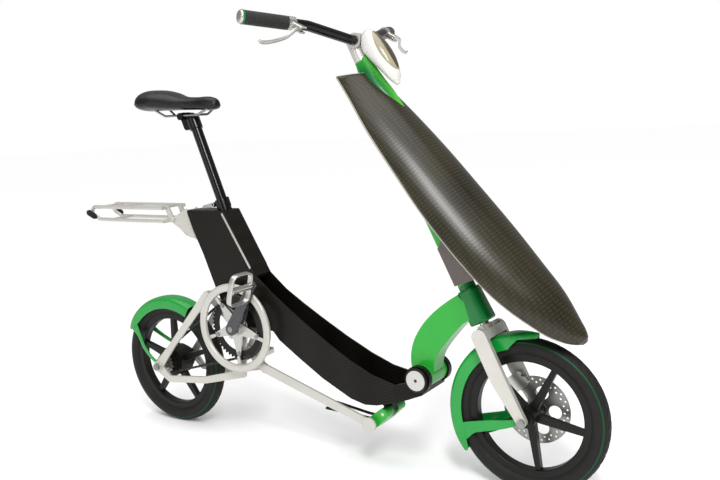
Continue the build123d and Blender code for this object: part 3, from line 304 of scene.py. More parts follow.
def lens_plastic(name, light, dark, rib=0.004):
    """Tinted clear plastic: ribs side by side as bump, clouded colour, a hard gloss on top."""
    material, tree, place = new_material(name)
    ribs = add_node(tree, "ShaderNodeTexWave", {"bands_direction": "Y"}, {
        "Vector": place.outputs["Object"], "Scale": BAND / (2 * rib), "Distortion": 0.0})
    cloud = add_node(tree, "ShaderNodeTexNoise", inputs={"Vector": place.outputs["Object"], "Scale": 18.0})
    tint = add_node(tree, "ShaderNodeMix", {"data_type": "RGBA"}, {
        "Factor": cloud.outputs["Fac"], COLOUR_A: linear(dark), COLOUR_B: linear(light)})
    bump = add_node(tree, "ShaderNodeBump", inputs={
        "Height": ribs.outputs["Fac"], "Strength": 0.4, "Distance": 0.0006})
    shader = add_node(tree, "ShaderNodeBsdfPrincipled", inputs={
        "Base Color": tint.outputs[MIXED], "Roughness": 0.22, "Normal": bump.outputs["Normal"],
        "IOR": 1.58, "Coat Weight": 0.25, "Coat Roughness": 0.08, "Specular IOR Level": 0.3})
    finish_material(tree, shader)
    return material


# lens: olive tinted polycarbonate over a pale reflector, clouded from within
olive_lens = lens_plastic("olive_lens_polycarbonate", "#A69F86", "#7D765D")
# band down the lens: dark brown ABS, smooth
brown_bezel = lacquer("brown_bezel_abs", "#4A3F2E", "#3A3124", roughness=0.25)
print("soft finishes and lens made, materials so far", len(bpy.data.materials))

# %% [markdown]
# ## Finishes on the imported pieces
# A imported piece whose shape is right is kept, and takes its finish by having its own material slots
# filled.  The list says which finish each piece has.

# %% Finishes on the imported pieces
finishes = {
    green_lacquer: "front_arc stand_crank column",
    darker_green_painted_shade: "head_tube",
    green_mudguard: "front_mudguard rear_mudguard",
    silver_lacquer: "swingarm strut rack_frame rack_bracket chain_guard fork stem stand_pins",
    white_housing: "headlight_housing",
    black_lacquer: "handlebar seatpost seat_clamp saddle_clamp",
    cast_black: "front_rim rear_rim rear_hub stand_legs chainring",
    near_crank_painted_shade: "crank_right",
    grey_moulding: "shell_bracket",
    satin_aluminium: "crank_left spider pedal_left pedal_right lever_mounts brake_lever_left "
                     "brake_lever_right seat_clamp_lever frame_strips hinge_pin steerer brake_caliper "
                     "bb_shell",
    turned_steel: "bb_axle bb_bearings headset_bearings pedal_axles rear_axle front_axle brake_disc "
                  "saddle_rails chainring_bolts sprocket rack_latch",
    dark_steel: "chain",
    frame_carbon: "main_frame",
    shield_carbon: "shell",
    bumper_rubber: "swing_bumper rack_feet",
    grip_rubber: "grips",
    tyre_rubber: "front_tyre rear_tyre",
    saddle_leather: "saddle",
    olive_lens: "headlight_lens",
}
for material, names in finishes.items():
    for name in names.split():
        mesh = nodes[name].data
        mesh.materials.clear()
        mesh.materials.append(material)
print("packed pieces finished", sum(len(names.split()) for names in finishes.values()), "of", len(nodes))

# %% [markdown]
# ## Surfaces from numbers
# A grid of points becomes a mesh: neighbours in the grid share a four-sided face.  The grid can close on
# itself in one direction or both, as a tube or a ring does.  Its faces are counted so that they point
# outwards when the first direction runs along the piece and the second one round it, clockwise as seen
# along the first.

# %% Grid to mesh
def surface(name, grid, material, body, close_u=False, close_v=False, caps=False, flip=False):
    """A mesh of four-sided faces over a grid of points, in metres, that rides on a body."""
    count_u, count_v = grid.shape[:2]
    index = np.arange(count_u * count_v).reshape(count_u, count_v)
    rows = index if not close_u else np.vstack([index, index[:1]])
    cells = rows if not close_v else np.hstack([rows, rows[:, :1]])
    corners = [cells[:-1, :-1], cells[1:, :-1], cells[1:, 1:], cells[:-1, 1:]]
    faces = np.stack(corners, axis=-1).reshape(-1, 4)
    faces = faces[:, ::-1] if flip else faces
    listed = faces.tolist()
    if caps:
        first, last = index[0].tolist(), index[-1].tolist()
        listed += [first[::-1], last] if flip else [first, last[::-1]]
    mesh = bpy.data.meshes.new(name)
    mesh.from_pydata(grid.reshape(-1, 3).tolist(), [], listed)
    mesh.update()
    mesh.shade_smooth()
    mesh.materials.append(material)
    piece = bpy.data.objects.new(name, mesh)
    bpy.context.scene.collection.objects.link(piece)
    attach(piece, body)
    return piece


print("grids become meshes, with", len(bpy.data.materials), "finishes to choose from")

# %% [markdown]
# ## Walls, tables and sections
# A laminate or a moulding is one surface with a wall grown inwards.  Sizes that change along a piece are
# read from a short table of rows, with a smooth curve between them.  A tube or a bar is a section set
# across a line at every point: the line's own direction and two directions across it carry the section.
# Places are measured in millimetres from the rear axle, as a frame is drawn.

# %% Walls, tables and sections
MM = 0.001
REAR_AXLE_X = -557.5                   # mm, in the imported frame
LEFT = np.array([0.0, 1.0, 0.0])


def give_wall(piece, thickness):
    """A wall of a thickness in metres, grown inwards from the surface."""
    wall = piece.modifiers.new("wall", "SOLIDIFY")
    wall.thickness = thickness
    wall.offset = -1.0


def unit(rows):
    """Rows divided by their own lengths."""
    return rows / np.linalg.norm(rows, axis=1, keepdims=True)


def power(wave, exponent):
    """A sine or cosine raised to a power with its sign kept, which squares a circle's corners."""
    return np.sign(wave) * np.abs(wave) ** exponent


def smooth_table(at, table):
    """Values of a table's columns at the given first-column places, on a cubic that passes through every
    row with the slope of the line between its neighbours."""
    table = np.asarray(table, float)
    places, values = table[:, 0], table[:, 1:]
    slopes = np.gradient(values, places, axis=0)
    row = np.clip(np.searchsorted(places, at, side="right") - 1, 0, len(places) - 2)
    span = (places[row + 1] - places[row])[..., None]
    s = ((at - places[row])[..., None]) / span
    return (values[row] * (1 + 2 * s) * (1 - s) ** 2 + slopes[row] * span * s * (1 - s) ** 2
            + values[row + 1] * s * s * (3 - 2 * s) + slopes[row + 1] * span * s * s * (s - 1))


def tube(name, path, radius, material, body, sides=20, caps=True, close=False):
    """A round tube along a row of points: at each point a ring in the plane across the path."""
    ahead = unit(np.gradient(path, axis=0) if not close else np.roll(path, -1, 0) - np.roll(path, 1, 0))
    helper = np.where(np.abs(ahead[:, 1:2]) > 0.85, [[1.0, 0, 0]], [[0, 1.0, 0]])
    across = unit(np.cross(ahead, helper))
    third = np.cross(ahead, across)
    angle = np.linspace(0, 2 * np.pi, sides, endpoint=False)[None, :, None]
    size = np.broadcast_to(np.asarray(radius, float), (len(path),))[:, None, None]
    grid = path[:, None] + size * (np.cos(angle) * across[:, None] + np.sin(angle) * third[:, None])
    return surface(name, grid, material, body, close_u=close, close_v=True,
                   caps=caps and not close, flip=True)


def spot(x, z, y=0.0):
    """Packed position, in metres, of a place given in mm forward of the rear axle, up, and left."""
    return np.stack(np.broadcast_arrays((REAR_AXLE_X + x) * MM, y * MM, z * MM), axis=-1)


def spots(rows):
    """The same for an array whose last direction is forward, left, up."""
    return spot(rows[..., 0], rows[..., 2], rows[..., 1])


def bar_points(line, half_across, half_third, facing, exponent, sides):
    """A bar along a line of places in mm.  Its section is a superellipse: one half width across both the
    line and the facing direction, the other half width at right angles to that."""
    ahead = unit(np.gradient(line, axis=0))
    across = unit(np.cross(ahead, facing))
    third = np.cross(ahead, across)
    angle = np.linspace(0, 2 * np.pi, sides, endpoint=False)
    return spots(line[:, None]
                 + (half_across[:, None] * power(np.cos(angle), exponent))[..., None] * across[:, None]
                 + (half_third[:, None] * power(np.sin(angle), exponent))[..., None] * third[:, None])


print("the rear axle is at", spot(0.0, 200.0), "m")

# %% [markdown]
# ## Leg shield
# The shield is one leaf of laminate: wide and deep in the middle, drawn in to a blunt tip, and cut
# nearly level at its top.  Each crosswise line is an arc through both rims and the crown, so the whole
# leaf is a table of three numbers, the rim's height, the half width and the crown's height, read down
# its length.  A thin bead runs round its edge, where the laminate is sealed.

# %% Leg shield
SHIELD_LENGTH, TOP_FALL = 901, 0.75    # mm, and mm down the leaf for each mm outwards at the top edge
SHIELD_ROWS, SHIELD_COLUMNS = 120, 61
shield_lean = math.radians(42.5)
shield_down = np.array([math.sin(shield_lean), 0, -math.cos(shield_lean)])
shield_out = np.array([math.cos(shield_lean), 0, math.sin(shield_lean)])
shield_top = np.array([REAR_AXLE_X + 736.0, 0, 1057.0])
shield_table = [(-30, 0, 60, 44), (60, -5, 80, 54), (170, -15, 104, 70), (300, -26, 117, 85),
                (450, -39, 123, 97), (590, -44, 119, 100), (690, -44, 105, 96), (785, -31, 82, 78),
                (855, -16, 51, 50), (884, -3, 29, 31), (896, 5, 14, 18), (901, 9, 5, 8)]


def shield_points(down, around):
    """Points of the leaf: down is mm along it, around runs from -1 at the right rim to 1 at the left.
    The arc's radius is (half^2 + crown^2) / (2 crown), and it is swept evenly by angle."""
    rim, half, crown = np.moveaxis(smooth_table(down, shield_table), -1, 0)
    radius = (half ** 2 + crown ** 2) / (2 * crown)
    sweep = np.arccos((radius - crown) / radius) * around
    height = rim + radius * np.cos(sweep) - (radius - crown)
    return (shield_top + down[..., None] * shield_down + height[..., None] * shield_out
            + (radius * np.sin(sweep))[..., None] * LEFT), height


around = np.linspace(-1, 1, SHIELD_COLUMNS)
cut = np.zeros_like(around)
for _ in range(12):      # each turn goes half way to the cut line, which depends on the height found there
    cut = 0.5 * cut + 0.5 * TOP_FALL * shield_points(cut, around)[1]
steps = np.linspace(0, 1, SHIELD_ROWS)[:, None]
leaf = shield_points(cut + (SHIELD_LENGTH - cut) * steps,
                     np.broadcast_to(around, (SHIELD_ROWS, SHIELD_COLUMNS)))[0] * MM
shield = surface("leg_shield", leaf, shield_carbon, "front_frame", flip=True)
give_wall(shield, 0.0035)
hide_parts("shell")
edge_path = np.vstack([leaf[:-1, 0], leaf[-1], leaf[-2:0:-1, -1], leaf[0, ::-1]])
# the sealed edge: cut laminate under resin, a dull warm grey
edge_grey = lacquer("sealed_laminate_edge", "#A19D90", "#8C887B", roughness=0.4, coat=0.0, gloss=0.3)
tube("leg_shield_edge", edge_path, 0.0036, edge_grey, "front_frame", sides=12, close=True)
print("leg shield", leaf.reshape(-1, 3).min(0).round(3), leaf.reshape(-1, 3).max(0).round(3))

# %% [markdown]
# ## Tyres
# A tyre is a ring whose section is nearly a circle.  Its tread is cut in: the radius drops in slanted
# grooves across the crown, one every 9 degrees, and in one groove round the middle.  A green line is
# moulded into each side wall; it is a thin band that stands half a millimetre proud.

# %% Tyres
TYRE_RADIUS, TYRE_SECTION, WHEELBASE = 200.0, 47.0, 1215.0     # mm
GROOVES, GROOVE_SLANT = 40, 10.0
GROOVE_DEPTH, MIDDLE_DEPTH = 1.4, 1.2                          # mm
BEAD_ANGLE = 2.55                                              # the section is open over the rim, in radians


def ring_points(centre_x, turn, around, proud=0.0):
    """Points of a tyre's surface: turn goes round the wheel, around goes round the section."""
    crown = np.clip((np.cos(around) - 0.55) / 0.45, 0, 1)
    slant = np.cos(GROOVES * turn + GROOVE_SLANT * np.abs(np.sin(around)))
    groove = crown * (GROOVE_DEPTH * (slant > 0.72) + MIDDLE_DEPTH * (np.abs(np.sin(around)) < 0.07))
    section = TYRE_SECTION / 2 + proud - groove * (proud == 0)
    out = TYRE_RADIUS - TYRE_SECTION / 2 + section * np.cos(around)
    return spot(centre_x + out * np.cos(turn), TYRE_RADIUS + out * np.sin(turn), section * np.sin(around))


turn = np.linspace(0, 2 * np.pi, 480, endpoint=False)[:, None]
section_round = np.linspace(-BEAD_ANGLE, BEAD_ANGLE, 52)[None, :]
line_round = np.linspace(0.96, 1.12, 5)[None, :]
for body, centre_x, word in (("rear_wheel", 0.0, "rear"), ("front_wheel", WHEELBASE, "front")):
    tyre = surface(word + "_tyre_rubber", ring_points(centre_x, turn, section_round), tyre_rubber, body,
                   close_u=True, close_v=True)
    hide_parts(word + "_tyre")
    for side, letter in ((-1, "r"), (1, "l")):
        band = ring_points(centre_x, turn[::2], side * line_round, 0.4)
        surface(f"{word}_tyre_line_{letter}0", band, line_green, body, close_u=True,
                flip=side < 0)
print("tyres with", GROOVES, "slanted grooves each")

# %% [markdown]
# ## Column leaf
# Where the column leaves the shield it wears a long pointed leaf, with a painted highlight along its middle
# and painted shade at its sides.  Its ridge is a smooth table of height and half width along a straight
# line, and each section is half an ellipse.

# %% Column leaf
def lacquer_with_painted_ridge_light(name, light, dark, half):
    """Lacquer with painted light: a painted highlight on the centre plane, darkening to painted shade at
    half metres to either side.
    """
    material, tree, place = new_material(name)
    split = add_node(tree, "ShaderNodeSeparateXYZ", inputs={"Vector": place.outputs["Object"]})
    side = add_node(tree, "ShaderNodeMath", {"operation": "ABSOLUTE"}, {0: split.outputs["Y"]})
    spread = add_node(tree, "ShaderNodeMapRange", {"clamp": True}, {
        "Value": side.outputs[0], "From Max": half})
    tint = add_node(tree, "ShaderNodeMix", {"data_type": "RGBA"}, {
        "Factor": spread.outputs["Result"], COLOUR_A: linear(light), COLOUR_B: linear(dark)})
    fine = add_node(tree, "ShaderNodeTexNoise", inputs={"Vector": place.outputs["Object"], "Scale": 450.0})
    bump = add_node(tree, "ShaderNodeBump", inputs={
        "Height": fine.outputs["Fac"], "Strength": 0.4, "Distance": 0.0001})
    shader = add_node(tree, "ShaderNodeBsdfPrincipled", inputs={
        "Base Color": tint.outputs[MIXED], "Roughness": 0.3, "Normal": bump.outputs["Normal"],
        "Coat Weight": 0.1, "Coat Roughness": 0.1, "Specular IOR Level": 0.25})
    finish_material(tree, shader)
    return material


LEAF_START, LEAF_END = -6, 176         # mm down the shield
# the leaf: a yellow green painted highlight on its ridge, falling to deep green painted shade at its sides
leaf_green_painted_light = lacquer_with_painted_ridge_light("leaf_painted_highlight_and_shade_lacquer", "#4AB52F", "#04602A", 0.024)
leaf_table = [(-6, 17, 73, 40), (24, 24, 72, 38), (66, 31, 66, 38), (110, 27, 63.5, 42),
              (150, 13, 60, 48), (176, 0.8, 57.5, 55)]
leaf_down = np.linspace(LEAF_START, LEAF_END, 70)[:, None]
half, ridge, foot = np.moveaxis(smooth_table(leaf_down, leaf_table), -1, 0)
turn_leaf = np.linspace(0, np.pi, 32)[None, :]
lift = foot + (ridge - foot) * np.sin(turn_leaf) ** 0.8
leaf_grid = (shield_top + leaf_down[..., None] * shield_down + lift[..., None] * shield_out
             + (half * np.cos(turn_leaf))[..., None] * LEFT) * MM
surface("column_leaf", leaf_grid, leaf_green_painted_light, "front_frame")
print("column leaf", LEAF_END - LEAF_START, "mm long")

# %% [markdown]
# ## Mudguards
# A mudguard is a channel of moulded plastic carried round the wheel: a crowned top, rounded shoulders
# and skirts down both sides.  Its section is carried round the axle, and at the ends the skirts rise to
# the shoulder and the width draws in, so the front guard ends in a pointed nose.  Flat arms, broad at
# the guard and slim at the axle, hold it.

# %% Mudguards
GUARD_HALF, GUARD_SHOULDER, GUARD_CROWN, SKIRT = 29.0, 199.0, 211.5, 176.0     # mm, radii but the first
TAIL = 16                                                                      # degrees


def guard_points(centre_x, angle, run, width, skirt):
    """Channel section carried round the axle: run goes from the right skirt's edge (-1) over the crown to
    the left one (1); the outer 30 percent of the run at each side is skirt, the rest half an ellipse."""
    over = np.clip(np.abs(run) / 0.7, 0, 1) * np.pi / 2
    down = np.clip((np.abs(run) - 0.7) / 0.3, 0, 1)
    out = (GUARD_SHOULDER + (GUARD_CROWN - GUARD_SHOULDER) * np.cos(over) ** 0.75
           - down * (GUARD_SHOULDER - skirt))
    side = np.sign(run) * GUARD_HALF * width * np.sin(over) ** 0.8
    return spot(centre_x + out * np.cos(angle), TYRE_RADIUS + out * np.sin(angle), side)


def mudguard(name, centre_x, start, end, nose, body, node):
    """A guard between two angles in degrees; nose is how many degrees the pointed front end takes.  The
    width and the skirt's depth are powers of how far an angle is from either end."""
    angle = np.radians(np.linspace(start, end, 150))[:, None]
    run = np.linspace(-1, 1, 61)[None, :]
    from_front = (np.degrees(angle) - start) / max(nose, 1)
    from_tail = (end - np.degrees(angle)) / TAIL
    width = 0.04 + 0.96 * np.clip(from_front, 0, 1) ** 0.9 if nose else np.ones_like(angle)
    width = width * (1 - 0.25 * np.clip(1 - from_tail, 0, 1) ** 2)
    front = np.clip((from_front - 0.75) / 0.5, 0, 1) if nose else np.ones_like(angle)
    skirt = GUARD_SHOULDER - (GUARD_SHOULDER - SKIRT) * front * np.clip(from_tail, 0, 1) ** 0.6
    guard = surface(name, guard_points(centre_x, angle, run, width, skirt), green_mudguard, body)
    give_wall(guard, 0.0025)
    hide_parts(node)


def flat_arm(name, centre_x, side, table, body):
    """A flat bar, 4 mm thick, on a smooth line through a table of places: distance from the axle, angle
    in degrees, mm to the side, and width.  Its section is a rounded box, wide in the side plane."""
    out, degrees, aside, widths = np.array(table, float).T
    angle = np.radians(degrees)
    places = np.column_stack([np.arange(len(table)), centre_x + out * np.cos(angle), side * aside,
                              TYRE_RADIUS + out * np.sin(angle), widths])
    row = smooth_table(np.linspace(0, len(table) - 1, 40), places)
    grid = bar_points(row[:, :3], row[:, 3] / 2, np.full(40, 2.0), LEFT, 0.35, 24)
    surface(name, grid, green_mudguard, body, close_v=True, caps=True, flip=True)


front_arm = [(186, 199, 28, 48), (150, 197, 31, 31), (95, 198, 36, 27), (52, 199, 45, 21),
             (12, 200, 47.6, 15)]
rear_arm = [(186, 146, 28, 34), (150, 148, 36, 17), (100, 152, 54, 13), (50, 153, 68, 12),
            (16, 150, 73.5, 11)]
mudguard("front_mudguard_shell", WHEELBASE, 83, 214, 17, "steering", "front_mudguard")
mudguard("rear_mudguard_shell", 0.0, 62, 153, 0, "rear_arm", "rear_mudguard")
for side, word in ((-1, "right"), (1, "left")):
    flat_arm("front_guard_arm_" + word, WHEELBASE, side, front_arm, "steering")
    flat_arm("rear_guard_arm_" + word, 0.0, side, rear_arm, "rear_arm")
print("mudguards", 2 * GUARD_HALF, "mm wide")

# %% [markdown]
# ## Headlight
# The lamp is a long drop: full over the bar's clamp and drawn out below.  Its sections are two half
# ellipses, one behind the joint and one before it.  The lens is a leaf let into the front, and a dark
# band runs down the lens.

# %% Headlight housing
LAMP_TOP, LAMP_FOOT = -86, 83          # mm down the lamp from its middle
LAMP_ROWS, LAMP_SIDES = 90, 72
lamp_lean = math.radians(31.0)
lamp_down = np.array([math.sin(lamp_lean), 0, -math.cos(lamp_lean)])
lamp_front = np.array([math.cos(lamp_lean), 0, math.sin(lamp_lean)])
lamp_centre = np.array([REAR_AXLE_X + 834.0, 0, 1102.0])
lamp_table = [(-86, 6, 9, 3), (-76, 17, 25, 12), (-56, 24, 37, 20), (-25, 28.5, 35, 27),
              (5, 28.5, 27, 29), (40, 24, 18, 25), (68, 15, 10, 16), (83, 5, 4, 5)]


def lamp_points(down, angle, proud):
    """Point of the drop: half ellipses before and behind, standing proud of the surface by a distance."""
    half, behind, before = np.moveaxis(smooth_table(down, lamp_table), -1, 0)
    reach = np.where(np.sin(angle) > 0, before, behind)
    return (lamp_centre + down[..., None] * lamp_down
            + ((reach + proud) * np.sin(angle))[..., None] * lamp_front
            + ((half + proud) * np.cos(angle))[..., None] * LEFT) * MM


down_lamp = np.broadcast_to(np.linspace(LAMP_TOP, LAMP_FOOT, LAMP_ROWS)[:, None], (LAMP_ROWS, LAMP_SIDES))
turn_lamp = np.broadcast_to(np.linspace(0, 2 * np.pi, LAMP_SIDES, endpoint=False), down_lamp.shape)
lamp_shell = surface("headlight_shell", lamp_points(down_lamp, turn_lamp, 0.0), white_housing, "steering",
                     close_v=True, caps=True)
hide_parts("headlight_housing")
print("headlight", LAMP_FOOT - LAMP_TOP, "mm long")

# %% Headlight lens
LENS_HALF = 64.0                       # mm, half its length


def lens_patch(name, reach, lift, material, start, half):
    """A leaf on the lamp's front: its half angle is reach degrees times a power of 1 - share^2, where
    share runs from -1 at the top to 1 at the foot, and it swells by lift in the middle."""
    share = np.linspace(-1, 1, 60)[:, None]
    aside = np.linspace(-1, 1, 41)[None, :]
    wide = np.radians(reach) * (1 - share ** 2 + 1e-4) ** 0.4
    angle = np.pi / 2 + wide * aside
    rise = lift * (1 - aside ** 6) * (1 - share ** 6)
    place_down = np.broadcast_to(start + half * share, angle.shape)
    return surface(name, lamp_points(place_down, angle, rise - 0.3), material, "steering")


lens_leaf = lens_patch("headlight_lens_leaf", 70, 1.4, olive_lens, -9.0, LENS_HALF)
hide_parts("headlight_lens")
lens_patch("headlight_lens_band", 32, 2.2, brown_bezel, -10.0, LENS_HALF - 2.0)
print("lens", 2 * LENS_HALF, "mm long, with its band")

# %% [markdown]
# ## Pedals
# A pedal is a strip of aluminium bent into a loop round a barrel.  The strip's section is carried round
# a superellipse, x^4.4 + y^4.4 = 1, which has the rounded corners of bent strip.

# %% Pedals
BRACKET, CRANK, CRANK_ANGLE = np.array([320.0, 0.0, 352.0]), 165, math.radians(56.5)
PEDAL_HALF_LONG, PEDAL_HALF_WIDE, PEDAL_SIDE = 46, 41.5, 134.0      # mm
crank_reach = CRANK * np.array([math.cos(CRANK_ANGLE), 0.0, math.sin(CRANK_ANGLE)])
loop = np.linspace(0, 2 * np.pi, 96, endpoint=False)[:, None]
ring = np.linspace(0, 2 * np.pi, 16, endpoint=False)[None, :]
outward = 2.2 * power(np.cos(ring), 0.5)
for word, side, tilt in (("right", -1, math.radians(75.0)), ("left", 1, math.radians(4.0))):
    fore = np.array([math.cos(tilt), 0, math.sin(tilt)])
    normal = np.array([-math.sin(tilt), 0, math.cos(tilt)])
    middle = BRACKET - side * crank_reach + side * PEDAL_SIDE * LEFT
    grid = (middle + ((PEDAL_HALF_LONG + outward) * power(np.cos(loop), 0.45))[..., None] * fore
            + ((PEDAL_HALF_WIDE + outward) * power(np.sin(loop), 0.45))[..., None] * LEFT
            + (8.5 * power(np.sin(ring), 0.4) + 0 * loop)[..., None] * normal)
    cage = surface("pedal_cage_" + word, spots(grid), satin_aluminium, word + "_pedal",
                   close_u=True, close_v=True, flip=True)
    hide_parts("pedal_" + word)
    reach = np.linspace(-1, 1, 30)
    barrel_size = (11.5 - 2.2 * np.cos(reach * np.pi / 2) ** 0.5) * MM
    tube("pedal_barrel_" + word, spots(middle + (reach * 40)[:, None] * LEFT), barrel_size,
         satin_aluminium, word + "_pedal", sides=24)
print("pedals", 2 * PEDAL_HALF_LONG, "mm long")

# %% [markdown]
# ## Grips and brake levers
# The grips are moulded rubber with shallow rings, a thin green ring and a bright end cap.  The brake
# levers are forged blades, flat in section, that bow away from the grip and curl out at the tip.

# %% Grips and levers
GRIP_LENGTH, GRIP_RADIUS, CAP_LENGTH = 118, 17.0, 8     # mm
bar_middle = np.array([762.6, 0.0, 1150.3])
along_grip = np.linspace(0, GRIP_LENGTH, 237)
ribbed = (along_grip > 12) * (along_grip < 112)
ribs = 0.9 * (np.sin(along_grip / GRIP_LENGTH * 26 * np.pi * 2) > 0.75) * ribbed
shoulder = 1.6 * np.clip(1 - along_grip / 3, 0, 1) + 1.6 * np.clip((along_grip - 115) / 3, 0, 1)
cap_reach = np.linspace(0, CAP_LENGTH, 14)
cap_size = 16.6 * np.sqrt(np.clip(1 - (cap_reach / 8.4) ** 3, 0.01, 1)) * MM
for word, side in (("right", -1), ("left", 1)):
    elbow = bar_middle + (-32, side * 178.0, 30)
    tip = bar_middle + (-105, side * 338.7, 48)
    heading = (tip - elbow) / np.linalg.norm(tip - elbow)
    grip = tube("grip_sleeve_" + word, spots(tip - along_grip[:, None] * heading),
                (GRIP_RADIUS - ribs - shoulder) * MM, grip_rubber, "steering", sides=40)
    if side < 0:
        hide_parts("grips")
    tube("grip_ring_" + word, spots(tip + np.linspace(-3.2, 0.6, 6)[:, None] * heading), 0.0174,
         darker_green_painted_shade, "steering", sides=40)
    tube("grip_cap_" + word, spots(tip + (0.6 + cap_reach)[:, None] * heading), cap_size,
         satin_aluminium, "steering", sides=40)
    # the blade goes from its pivot past the grip to the curl; each row is a place and a width
    pivot = tip - 130 * heading + 34 * np.array([0.88, 0, -0.47]) + (0, side * 2.0, 0)
    end = bar_middle + (-51, side * 347.0, -14)
    blade_table = np.array([
        (0, *pivot, 12), (1, *(pivot + (3, side * 24, -4)), 10),
        (2, *(0.62 * pivot + 0.38 * end + (1, 0, -9)), 9), (3, *(0.3 * pivot + 0.7 * end + (-1, 0, -9)), 9),
        (4, *(0.08 * pivot + 0.92 * end + (-1, 0, -4)), 8), (5, *(end + (2, side * -0.5, 3)), 6)])
    row = smooth_table(np.linspace(0, 5, 70), blade_table)
    grid = bar_points(row[:, :3], row[:, 3] * 0.30, row[:, 3] * 0.55, [0.47, 0, 0.88], 0.7, 20)
    blade = surface("brake_blade_" + word, grid, satin_aluminium, word + "_brake_lever",
                    close_v=True, caps=True, flip=True)
    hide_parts("brake_lever_" + word)
print("grips", GRIP_LENGTH, "mm long, levers made")

# %% [markdown]
# ## Head tube sleeve
# The head tube is a casting, not a plain pipe: nearly square across, a little wider at its foot, with
# rounded corners.  It is a superellipse carried along the steering axis.

# %% Head tube sleeve
head_lean = math.radians(26.0)
axis_up = np.array([-math.sin(head_lean), 0, math.cos(head_lean)])
axis_fore = np.array([math.cos(head_lean), 0, math.sin(head_lean)])
axis_foot = np.array([REAR_AXLE_X + 1108.5, 0, 400.0])
level = np.concatenate([[30.2, 31.2], np.linspace(34, 118, 30), [121, 122]])[:, None]
rounding = 2.5 * np.clip(1 - np.minimum(level - 30.2, 122 - level) / 3, 0, 1)
size = 31.5 - 4.0 * (level - 30) / 92 - rounding
turn_sleeve = np.linspace(0, 2 * np.pi, 64, endpoint=False)[None, :]
sleeve_grid = (axis_foot + level[..., None] * axis_up
               + (size * power(np.cos(turn_sleeve), 0.62))[..., None] * axis_fore
               + (size * power(np.sin(turn_sleeve), 0.62))[..., None] * LEFT) * MM
# the sleeve's deeper green is painted shade on the arc's paint
surface("head_tube_sleeve", sleeve_grid, darker_green_painted_shade, "front_frame", close_v=True,
        caps=True, flip=True)
print("head tube sleeve", round(float(size.max()), 1), "mm half width")

# %% [markdown]
# ## Fold hinge
# The hinge's pin has a pale cap in a black ring, with a hexagon socket in its middle; the socket's dark
# hollow is drawn as a small dark steel hexagon, which is painted shade.

# %% Hinge cap
HINGE_X, HINGE_Z, HINGE_RING = 932.0, 272.0, 29.5       # mm
round_once = np.linspace(0, 2 * np.pi, 72, endpoint=False)
ring_path = spot(HINGE_X + HINGE_RING * np.cos(round_once), HINGE_Z + HINGE_RING * np.sin(round_once), -70.5)
tube("hinge_cap_ring", ring_path, 0.0034, cast_black, "main_frame", sides=16, close=True)
# painted shade: a dark steel hexagon set where the socket's hollow is
socket_shade_path = spot(HINGE_X + 0 * np.arange(4), HINGE_Z, np.array([-71.0, -73.5, -74.6, -74.8]))
tube("hinge_cap_socket_painted_shade", socket_shade_path, np.array([5.0, 5.0, 4.6, 3.0]) * MM, dark_steel, "main_frame",
     sides=6)
print("hinge cap ring", 2 * HINGE_RING, "mm across")

# %% [markdown]
# ## Saddle
# The saddle is a firm pad in a leather cover: broad behind, drawn in quickly to a narrow nose.  Its
# sections are superellipses whose sizes come from a smooth table; the ends are rounded off by letting
# the section shrink with a high power of the cosine.  A welt is sewn round the widest line.

# %% Saddle
SADDLE_TAIL, SADDLE_HALF_LENGTH = -37, 149.5            # mm
saddle_table = [(-36, 1018, 1044, 48), (-20, 1007, 1058, 68), (30, 1002, 1065, 77), (76, 1001, 1057, 65),
                (128, 1000, 1041, 42), (180, 998, 1036, 28), (230, 995, 1035, 23), (262, 997, 1027, 16)]
run = np.linspace(0, np.pi, 90)
length_at = SADDLE_TAIL + SADDLE_HALF_LENGTH * (1 - np.cos(run))
close = np.sqrt(np.clip(1 - ((np.cos(run)) ** 2) ** 14, 1e-4, 1))[:, None]
low_at, high_at, half_at = [part[:, None] for part in smooth_table(length_at, saddle_table).T]
middle_at = low_at + (high_at - low_at) * 0.36
turn_saddle = np.linspace(0, 2 * np.pi, 72, endpoint=False)[None, :]
rise = np.where(np.sin(turn_saddle) > 0, high_at - middle_at, middle_at - low_at)
level_at = middle_at + rise * close * power(np.sin(turn_saddle), 0.9)
side_at = half_at * close * power(np.cos(turn_saddle), 0.85)
saddle_grid = spot(np.broadcast_to(length_at[:, None], side_at.shape), level_at, side_at)
saddle_pad = surface("saddle_pad", saddle_grid, saddle_leather, "seat", close_v=True,
                     caps=True)
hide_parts("saddle")
for word, column, side in (("right", 36, -1), ("left", 0, 1)):
    welt = saddle_grid[4:-4, column] + side * 0.0004 * LEFT
    tube("saddle_welt_" + word, welt, 0.0013, saddle_leather, "seat", sides=8)
print("saddle", (saddle_grid.reshape(-1, 3).max(0) - saddle_grid.reshape(-1, 3).min(0)).round(3))

# %% [markdown]
# ## Chain
# A roller chain has a pin every 12.7 mm and pairs of plates between them, turn about inner and outer.
# The pins lie on the belt line round both chainwheels: two straight runs and two arcs.  The outline of
# one plate and the circle of one pin are turned and set in place at every pin as whole arrays.

# %% Belt line
PITCH, CHAIN_Y = 12.7, -51.5           # mm
big, small = 97.1, 32.6                # radii of the pins' circle on the chainwheel and the sprocket
bracket_at, hub_at = np.array([320.0, 352.0]), np.array([0.0, 200.0])
apart = np.linalg.norm(bracket_at - hub_at)
slope = math.atan2(*(bracket_at - hub_at)[::-1])
spread = math.acos((big - small) / apart)
run_length = math.sqrt(apart ** 2 - (big - small) ** 2)
arc_big, arc_small = big * 2 * (np.pi - spread), small * 2 * spread
total = 2 * run_length + arc_big + arc_small
count = int(round(total / PITCH / 2)) * 2


